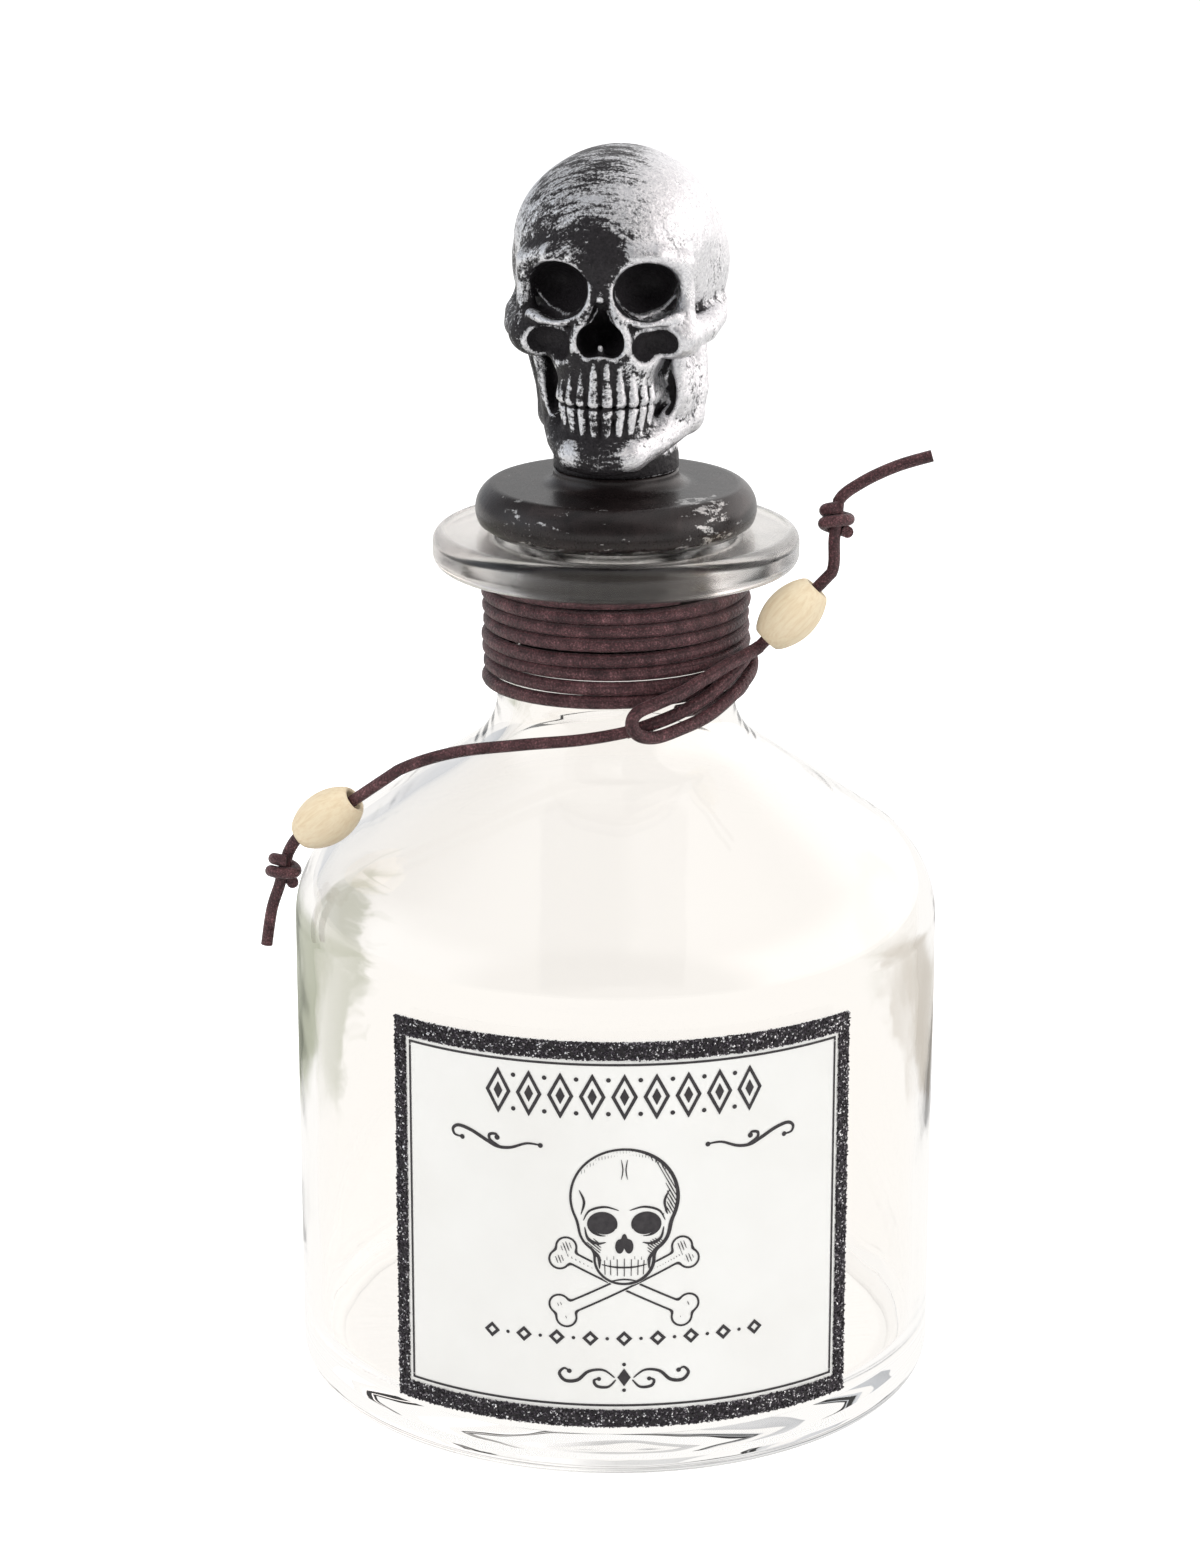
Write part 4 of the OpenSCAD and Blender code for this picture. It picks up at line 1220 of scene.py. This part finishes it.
def disc():
    under_r = DISC_R - DISC_T * 0.3
    side = DISC_T * 0.62
    outline = [(DOWEL_R, DISC_Z)] + [(r, DISC_Z) for r in np.linspace(6, under_r, 8)]
    outline += arc(DISC_R - side, DISC_Z + DISC_T * 0.45, side, -28, 62, 20)
    last = outline[-1]
    foot_r = COLLAR_R + COLLAR_FLARE
    outline += [(last[0] + (foot_r - last[0]) * t, last[1] + (DISC_TOP - last[1]) * (1 - (1 - t)**2))
                for t in np.linspace(0, 1, 10)[1:]]
    outline += [(COLLAR_R + COLLAR_FLARE * (1 - sin(a)), DISC_TOP + COLLAR_FLARE_H * (1 - cos(a)))
                for a in np.linspace(0, pi / 2, 8)[1:]]
    outline += arc(COLLAR_R - 0.5, SKULL_Z - 0.53, 0.5, 0, 90, 5)
    outline += [(DOWEL_R, SKULL_Z - 0.03)]
    piece = lathe("stopper_pebble", outline, 192)
    mesh = piece.data
    strokes, wear = [], []
    for vertex in mesh.vertices:
        x, y, z = vertex.co / MM
        r = np.hypot(x, y)
        strokes += [np.arctan2(y, x) * 7, r * 0.6, z * 0.8]
        # Scuffs gather at the front right, fewer at the front left and along the lower edge
        turn = np.degrees(np.arctan2(y, x))
        edge = np.clip((r - 13) / 6, 0, 1)
        spots = ((-46, 17, 0.27), (-132, 20, 0.17), (-95, 22, 0.1), (60, 40, 0.1), (150, 30, 0.14))
        scuffed = sum(amount * np.exp(-((turn - middle) / wide)**2) for middle, wide, amount in spots)
        wear.append(edge * scuffed + 0.12 * np.clip((DISC_Z + 2 - z) / 2, 0, 1) * edge)
    mesh.attributes.new("brush", "FLOAT_VECTOR", "POINT").data.foreach_set("vector", strokes)
    mesh.attributes.new("worn", "FLOAT", "POINT").data.foreach_set("value", wear)
    mesh.materials.append(worn_resin())
    fit(piece, "stopper", "stopper_disc")


disc()


# Skull
# A cast skull of black resin, 51 mm from chin to crown and turned a little to its right, dry-brushed
# with silver: bright on every edge, black in each hollow, with painted highlights on its right side
# and upper left and painted shade over the middle of its forehead. It is glued to the collar.
CHIN_Z = SKULL_Z + 2.2
SKULL_TURN = radians(-8)
SKULL_FOOT_R = 10.5
SKULL_STEP = 0.42
SKULL_LOW = np.array([-19.5, -24, -2.2 - SKULL_STEP])
SKULL_HIGH = np.array([19.5, 26.5, 52.5])


def hollow(a, b, k):
    return -blend(-a, b, k)


def teeth(p):
    """Long narrow teeth on their roots, in two arches that meet in a bite line."""
    found = np.full(p.shape[:-1], 9.0)
    widths = (1.12, 1.02, 1.1, 1.05, 1.1)
    for i, turn in enumerate((8.5, 25.5, 43, 61, 79)):
        s, c = sin(radians(turn)), cos(radians(turn))
        w = widths[i]
        root = (6.9 * s, -12 - 6.9 * c, 18.6 - 0.4 * i)
        upper = rod(p, (7.3 * s, -12.2 - 6.6 * c, 12.45), root, w, w * 0.55)
        lower = rod(p, (7 * s, -12 - 6.5 * c, 10.75), (6.4 * s, -12.2 - 6.6 * c, 5.8), w * 0.95, w * 0.5)
        found = np.minimum(found, np.minimum(upper, lower))
    return found


def skull_field(points, carved=True):
    """Distance to the skull in millimetres. The chin is at 0 and the face looks along -Y."""
    p = points.copy()
    # The hinder part of the lower jaw stands a little to one side, as it was cast
    back = np.clip((p[..., 1] + 15) / 10, 0, 1) * np.clip((19 - p[..., 2]) / 7, 0, 1)
    p[..., 0] = np.abs(p[..., 0] - 1.3 * back)
    # Brain case and the hollow of the temple
    d = egg(p, (0, 4, 33.2), (17.3, 21, 17.75))
    d = blend(d, egg(p, (0, -5.5, 38), (14.8, 12.6, 11.6)), 5)
    d = blend(d, egg(p, (0, 14.5, 25), (13.8, 11.3, 10.3)), 5)
    d = blend(d, egg(p, (9.1, 6.5, 31), (8.4, 11.5, 10)), 3)
    d = blend(d, egg(p, (0, -3, 20), (11, 12.4, 8.5)), 4)
    d = hollow(d, egg(p, (20.3, -8.5, 31), (4.6, 8, 8.2)), 1.8)
    # Upper jaw, cheek bones and their arches
    d = blend(d, egg(p, (0, -12.2, 20.3), (9.2, 7.2, 9)), 1.5)
    d = blend(d, egg(p, (0, -11.8, 15.2), (7.9, 7.4, 4.6)), 1)
    d = blend(d, egg(p, (11.2, -12.6, 22.6), (4.7, 3.9, 3.9)), 1.4)
    d = blend(d, rods(p, [(12.8, -11.4, 22.8), (15.2, -6.5, 22.8), (16.2, -0.5, 23.8), (15.8, 4.5, 25)],
                      (2.8, 2.5, 2.3, 2.2)), 1.6)
    # Rims of the eye sockets: outer, brow, lower and the bridge of the nose
    d = blend(d, rods(p, [(12.9, -12.8, 24.5), (13.2, -12.6, 29.5), (12.6, -13.2, 34.6)],
                      (1.7, 1.4, 1.5)), 1.4)
    d = blend(d, rods(p, [(2, -17, 35), (5.2, -17.6, 36.2), (9, -16.9, 36.2), (12.6, -13.2, 34.6)],
                      (1.6, 1.4, 1.4, 1.4)), 2.2)
    d = blend(d, rods(p, [(3, -17.6, 28), (4.4, -17.9, 25.9), (8, -17.5, 25.1), (11.8, -15.2, 26)],
                      (1, 0.9, 0.9, 1)), 0.8)
    d = blend(d, rods(p, [(0, -17.2, 34.6), (0, -18.2, 31.8), (0, -19, 29.6)], (2, 1.4, 0.9)), 1.6)
    d = blend(d, rods(p, [(1.3, -18.2, 31), (3.1, -18.6, 26), (4.4, -18.2, 21.5)], (1.2, 1.1, 1.1)), 0.8)
    # Lower jaw: chin block, body, upright branch with its front edge, and the floor between
    jaw = rods(p, [(0, -17, 3.6), (4.6, -16.4, 3.6), (7.6, -11.8, 5), (10.9, -3.6, 7.6)], (3.2, 3, 2.6, 2.6))
    jaw = blend(jaw, rods(p, [(10.9, -3.6, 7.6), (11.9, -2.2, 12.5), (12.9, -0.6, 20.5)],
                          (2.8, 2.6, 2.5)), 1.2)
    jaw = blend(jaw, rods(p, [(8.2, -10.6, 6.6), (10.7, -9.2, 12), (11.6, -9.2, 19)], (1.3, 1.1, 1.2)), 1.2)
    jaw = blend(jaw, egg(p, (10.6, -4.5, 13), (2.6, 5.5, 7.5)), 1)
    jaw = blend(jaw, egg(p, (0, -17.4, 3.4), (6.4, 3.2, 3.3)), 1.2)
    jaw = blend(jaw, egg(p, (0, -11.6, 7.4), (7.6, 7, 4.6)), 1.2)
    d = blend(d, jaw, 0.6)
    d = blend(d, egg(p, (0, -4.5, 12.5), (10, 8.5, 8)), 1)
    if carved:
        # Hollows: eye sockets, under the eyes, cheeks, nose with its spine
        d = hollow(d, egg(p, (7.55, -19.6, 30.4), (5.55, 10.6, 4.85)), 0.3)
        d = hollow(d, egg(p, (9, -18, 21.4), (3.9, 4.2, 3.4)), 0.7)
        d = hollow(d, egg(p, (9.4, -12.6, 13.4), (1.6, 4.6, 4.8)), 0.6)
        nose = rod(p * np.array([1, 0.3, 1]), (0, -5.7, 22.8), (0, -5.7, 27.3), 2.7, 0.8)
        nose = blend(egg(p, (1.9, -19, 22.4), (2, 7, 2.6)), nose, 0.8)
        d = hollow(d, nose, 0.3)
        d = blend(d, rod(p, (0, -16, 19), (0, -19.2, 21.6), 0.9, 0.4), 0.4)
    d = blend(d, teeth(p), 0.3)
    # A thick neck runs down to the collar
    neck = np.hypot(points[..., 0], points[..., 1]) - SKULL_FOOT_R + 0.02 + 0.15 * np.maximum(p[..., 2], 0)
    d = blend(d, np.maximum(neck, p[..., 2] - 16), 2)
    return np.maximum(d, -2.2 - p[..., 2])


def slope(field, points, h=0.04):
    """The way in which a field grows, at each of some points."""
    grown = []
    for axis in range(3):
        shift = np.zeros(3)
        shift[axis] = h
        grown.append((field(points + shift) - field(points - shift)) / (2 * h))
    return np.stack(grown, -1)


def net(field, low, high, step):
    """A skin round the zero of a field: a corner in each cell that it crosses, then pulled onto it."""
    # The field is sampled only in the blocks of cells that the skin can pass through
    block = 4
    counts = block * np.ceil((high - low) / step / block).astype(int)
    rows = [np.arange(0, n, block) for n in counts]
    starts = np.stack(np.meshgrid(*rows, indexing="ij"), -1).reshape(-1, 3)
    middle = field(low + (starts + (block - 1) / 2) * step)
    inside = np.repeat(middle < 0, block**3).reshape(-1, block, block, block)
    close = np.abs(middle) < 1.3 * block * step
    cell = np.stack(np.meshgrid(*[np.arange(block)] * 3, indexing="ij"), -1)
    inside[close] = field(low + (starts[close][:, None, None, None] + cell) * step) < 0
    blocks = counts // block
    inside = inside.reshape(*blocks, block, block, block).transpose(0, 3, 1, 4, 2, 5).reshape(counts)
    near = [slice(None, -1), slice(1, None)]
    total = sum(inside[a, b, c].astype(int) for a in near for b in near for c in near)
    crossed = (total > 0) & (total < 8)
    number = np.full(crossed.shape, -1)
    number[crossed] = np.arange(crossed.sum())
    corners = low + (np.argwhere(crossed) + 0.5) * step
    for _ in range(3):
        gradient = slope(field, corners)
        pull = field(corners)[:, None] * gradient / ((gradient**2).sum(-1, keepdims=True) + 1e-6)
        length = np.linalg.norm(pull, axis=1, keepdims=True) + 1e-9
        corners = corners - pull * np.minimum(1, 0.5 * step / length)
    faces = []
    for axis in range(3):
        turned = np.moveaxis(inside, axis, 0)
        cells = np.moveaxis(number, axis, 0)
        change = turned[:-1, 1:-1, 1:-1] != turned[1:, 1:-1, 1:-1]
        i, j, k = np.nonzero(change)
        j, k = j + 1, k + 1
        quad = np.stack([cells[i, j - 1, k - 1], cells[i, j, k - 1], cells[i, j, k], cells[i, j - 1, k]], -1)
        # Moving an axis to the front keeps the order of the other two, which turns them for the middle axis
        outwards = turned[i, j, k] != (axis == 1)
        faces.append(np.where(outwards[:, None], quad, quad[:, ::-1]))
    return corners, np.concatenate(faces)


def openness(points, normals):
    """0 deep in a hollow, 1 where nothing stands round a point."""
    total = np.zeros(len(points))
    for reach in (0.5, 1.1, 2.2, 4.4):
        total += np.clip(skull_field(points + normals * reach) / reach, 0, 1.1)
    return total / 4


def ridges(points, width):
    """Positive on ridges, negative in creases, about as wide as a width."""
    total = -6 * skull_field(points)
    for axis in range(3):
        for sign in (-width, width):
            shift = np.zeros(3)
            shift[axis] = sign
            total += skull_field(points + shift)
    return total / width


def dry_brushed_with_painted_light():
    """Black resin under silver that a nearly dry brush leaves on whatever stands out, with painted
    highlights and painted shade in the silver mask.
    """
    material, tree, shader = new_material("dry_brushed_silver_with_painted_light")
    spot = place(tree)
    along = attribute(tree, "brush", "Vector")
    strokes = noise(tree, along, 1.0, 6.0, 0.68, 0.25)
    specks = noise(tree, spot, 2.2, 5.0, 0.72)
    patches = noise(tree, spot, 0.16, 4.0, 0.6, 0.5)
    lumps = noise(tree, spot, 0.4, 4.0, 0.6)
    # The silver attribute carries painted highlights and painted shade along with the brushed silver
    amount = attribute(tree, "silver")
    for grain, weight in ((strokes, 1.25), (specks, 0.9), (patches, 0.7)):
        centred = math_node(tree, "SUBTRACT", grain, 0.5)
        amount = plus(tree, amount, times(tree, centred, weight))
    mask_value = ramp(tree, amount, [(0.0, 0.0), (0.44, 0.0), (0.66, 1.0)])
    silver = ramp(tree, specks, [(0.35, (0.62, 0.62, 0.65)), (0.6, (0.93, 0.93, 0.95))])
    base = ramp(tree, specks, [(0.35, (0.008, 0.007, 0.008)), (0.7, (0.03, 0.027, 0.03))])
    resin_rough = ramp(tree, strokes, [(0.3, 0.34), (0.7, 0.5)])
    silver_rough = ramp(tree, strokes, [(0.3, 0.22), (0.7, 0.38)])
    rubbed(tree, shader, mask_value, (base, resin_rough), (silver, silver_rough))
    shader.inputs["Specular IOR Level"].default_value = 0.2
    height = plus(tree, times(tree, strokes, 0.8), times(tree, specks, 0.4))
    height = plus(tree, height, times(tree, lumps, 1.6))
    dress(tree, shader, normal=bump(tree, height, 0.75, 0.00035))
    return material


def brushed_silver_and_painted_light(points, exposed, ridge):
    """How much silver shows: what the brush left, with painted highlights on the right side and the upper
    left and painted shade over the middle of the forehead. 0.55 covers half of the black, and less leaves
    only streaks.
    """
    x, y, z = points.T
    # Painted light: more silver on the right side and the upper left stands for highlights, and less over
    # the middle of the forehead stands for shade
    right = np.clip((x - 1) / 8, 0, 1)
    left = np.clip((-x - 11.5) / 3, 0, 1) * np.clip((z - 24) / 4, 0, 1)
    crown = np.clip((z - 37) / 4, 0, 1)
    forehead_painted_shade = np.exp(-((x - 0.5) / 4.2)**2 - ((z - 37) / 4.5)**2)
    back = np.clip((y - 4) / 8, 0, 1)
    brow = np.clip((z - 33) / 3, 0, 1)
    silver_level_with_painted_light = 0.24 + 0.46 * right + 0.24 * left + 0.1 * brow
    silver_level_with_painted_light = silver_level_with_painted_light + 0.1 * crown * (1 - right) - 0.24 * forehead_painted_shade + 0.12 * back
    # The two knobs of the chin are bright, and the neck below it is black
    silver_level_with_painted_light += 0.4 * np.exp(-((np.abs(x) - 5.2) / 1.3)**2 - ((z - 3.6) / 2.2)**2) * (y < -10)
    silver_level_with_painted_light -= 0.7 * np.clip((1.6 - z) / 1.2, 0, 1)
    sunk = np.clip(-skull_field(points, carved=False) - 0.25, 0, 1)
    silver_level_with_painted_light += 0.6 * np.clip(ridge, 0, 1) + 0.4 * np.clip(ridge, -1, 0) - 0.5 * np.clip(0.62 - exposed, 0, 1)
    return silver_level_with_painted_light - 1.6 * sunk


def skull():
    step = SKULL_STEP * 1
    points, faces = net(skull_field, SKULL_LOW, SKULL_HIGH, step)
    normals = slope(skull_field, points)
    normals /= np.linalg.norm(normals, axis=1, keepdims=True) + 1e-9
    exposed = openness(points, normals)
    ridge = np.clip(ridges(points, 0.5), -1, 1)
    # The brush went round the crown in arcs, so its strokes follow circles about the front
    across = np.hypot(points[:, 0], points[:, 2] - 26)
    turn = np.arctan2(points[:, 0], points[:, 2] - 26)
    brush = np.stack([across * 1.1, turn * 4.2, points[:, 1] * 1.1], -1)
    silver = brushed_silver_and_painted_light(points, exposed, ridge)
    c, s = cos(SKULL_TURN), sin(SKULL_TURN)
    turned = points @ np.array([[c, s, 0], [-s, c, 0], [0, 0, 1]]) + np.array([0, 0, CHIN_Z])
    mesh = bpy.data.meshes.new("cast_skull")
    mesh.from_pydata((turned * MM).tolist(), [], faces.tolist())
    silver, brush = silver.astype(np.float32), brush.astype(np.float32).ravel()
    # The silver attribute holds the brushed silver with its painted highlights and painted shade
    mesh.attributes.new("silver", "FLOAT", "POINT").data.foreach_set("value", silver)
    mesh.attributes.new("brush", "FLOAT_VECTOR", "POINT").data.foreach_set("vector", brush)
    mesh.materials.append(dry_brushed_with_painted_light())
    piece = new_piece("cast_skull", mesh)
    smooth(piece)
    fit(piece, "stopper", "skull")


skull()
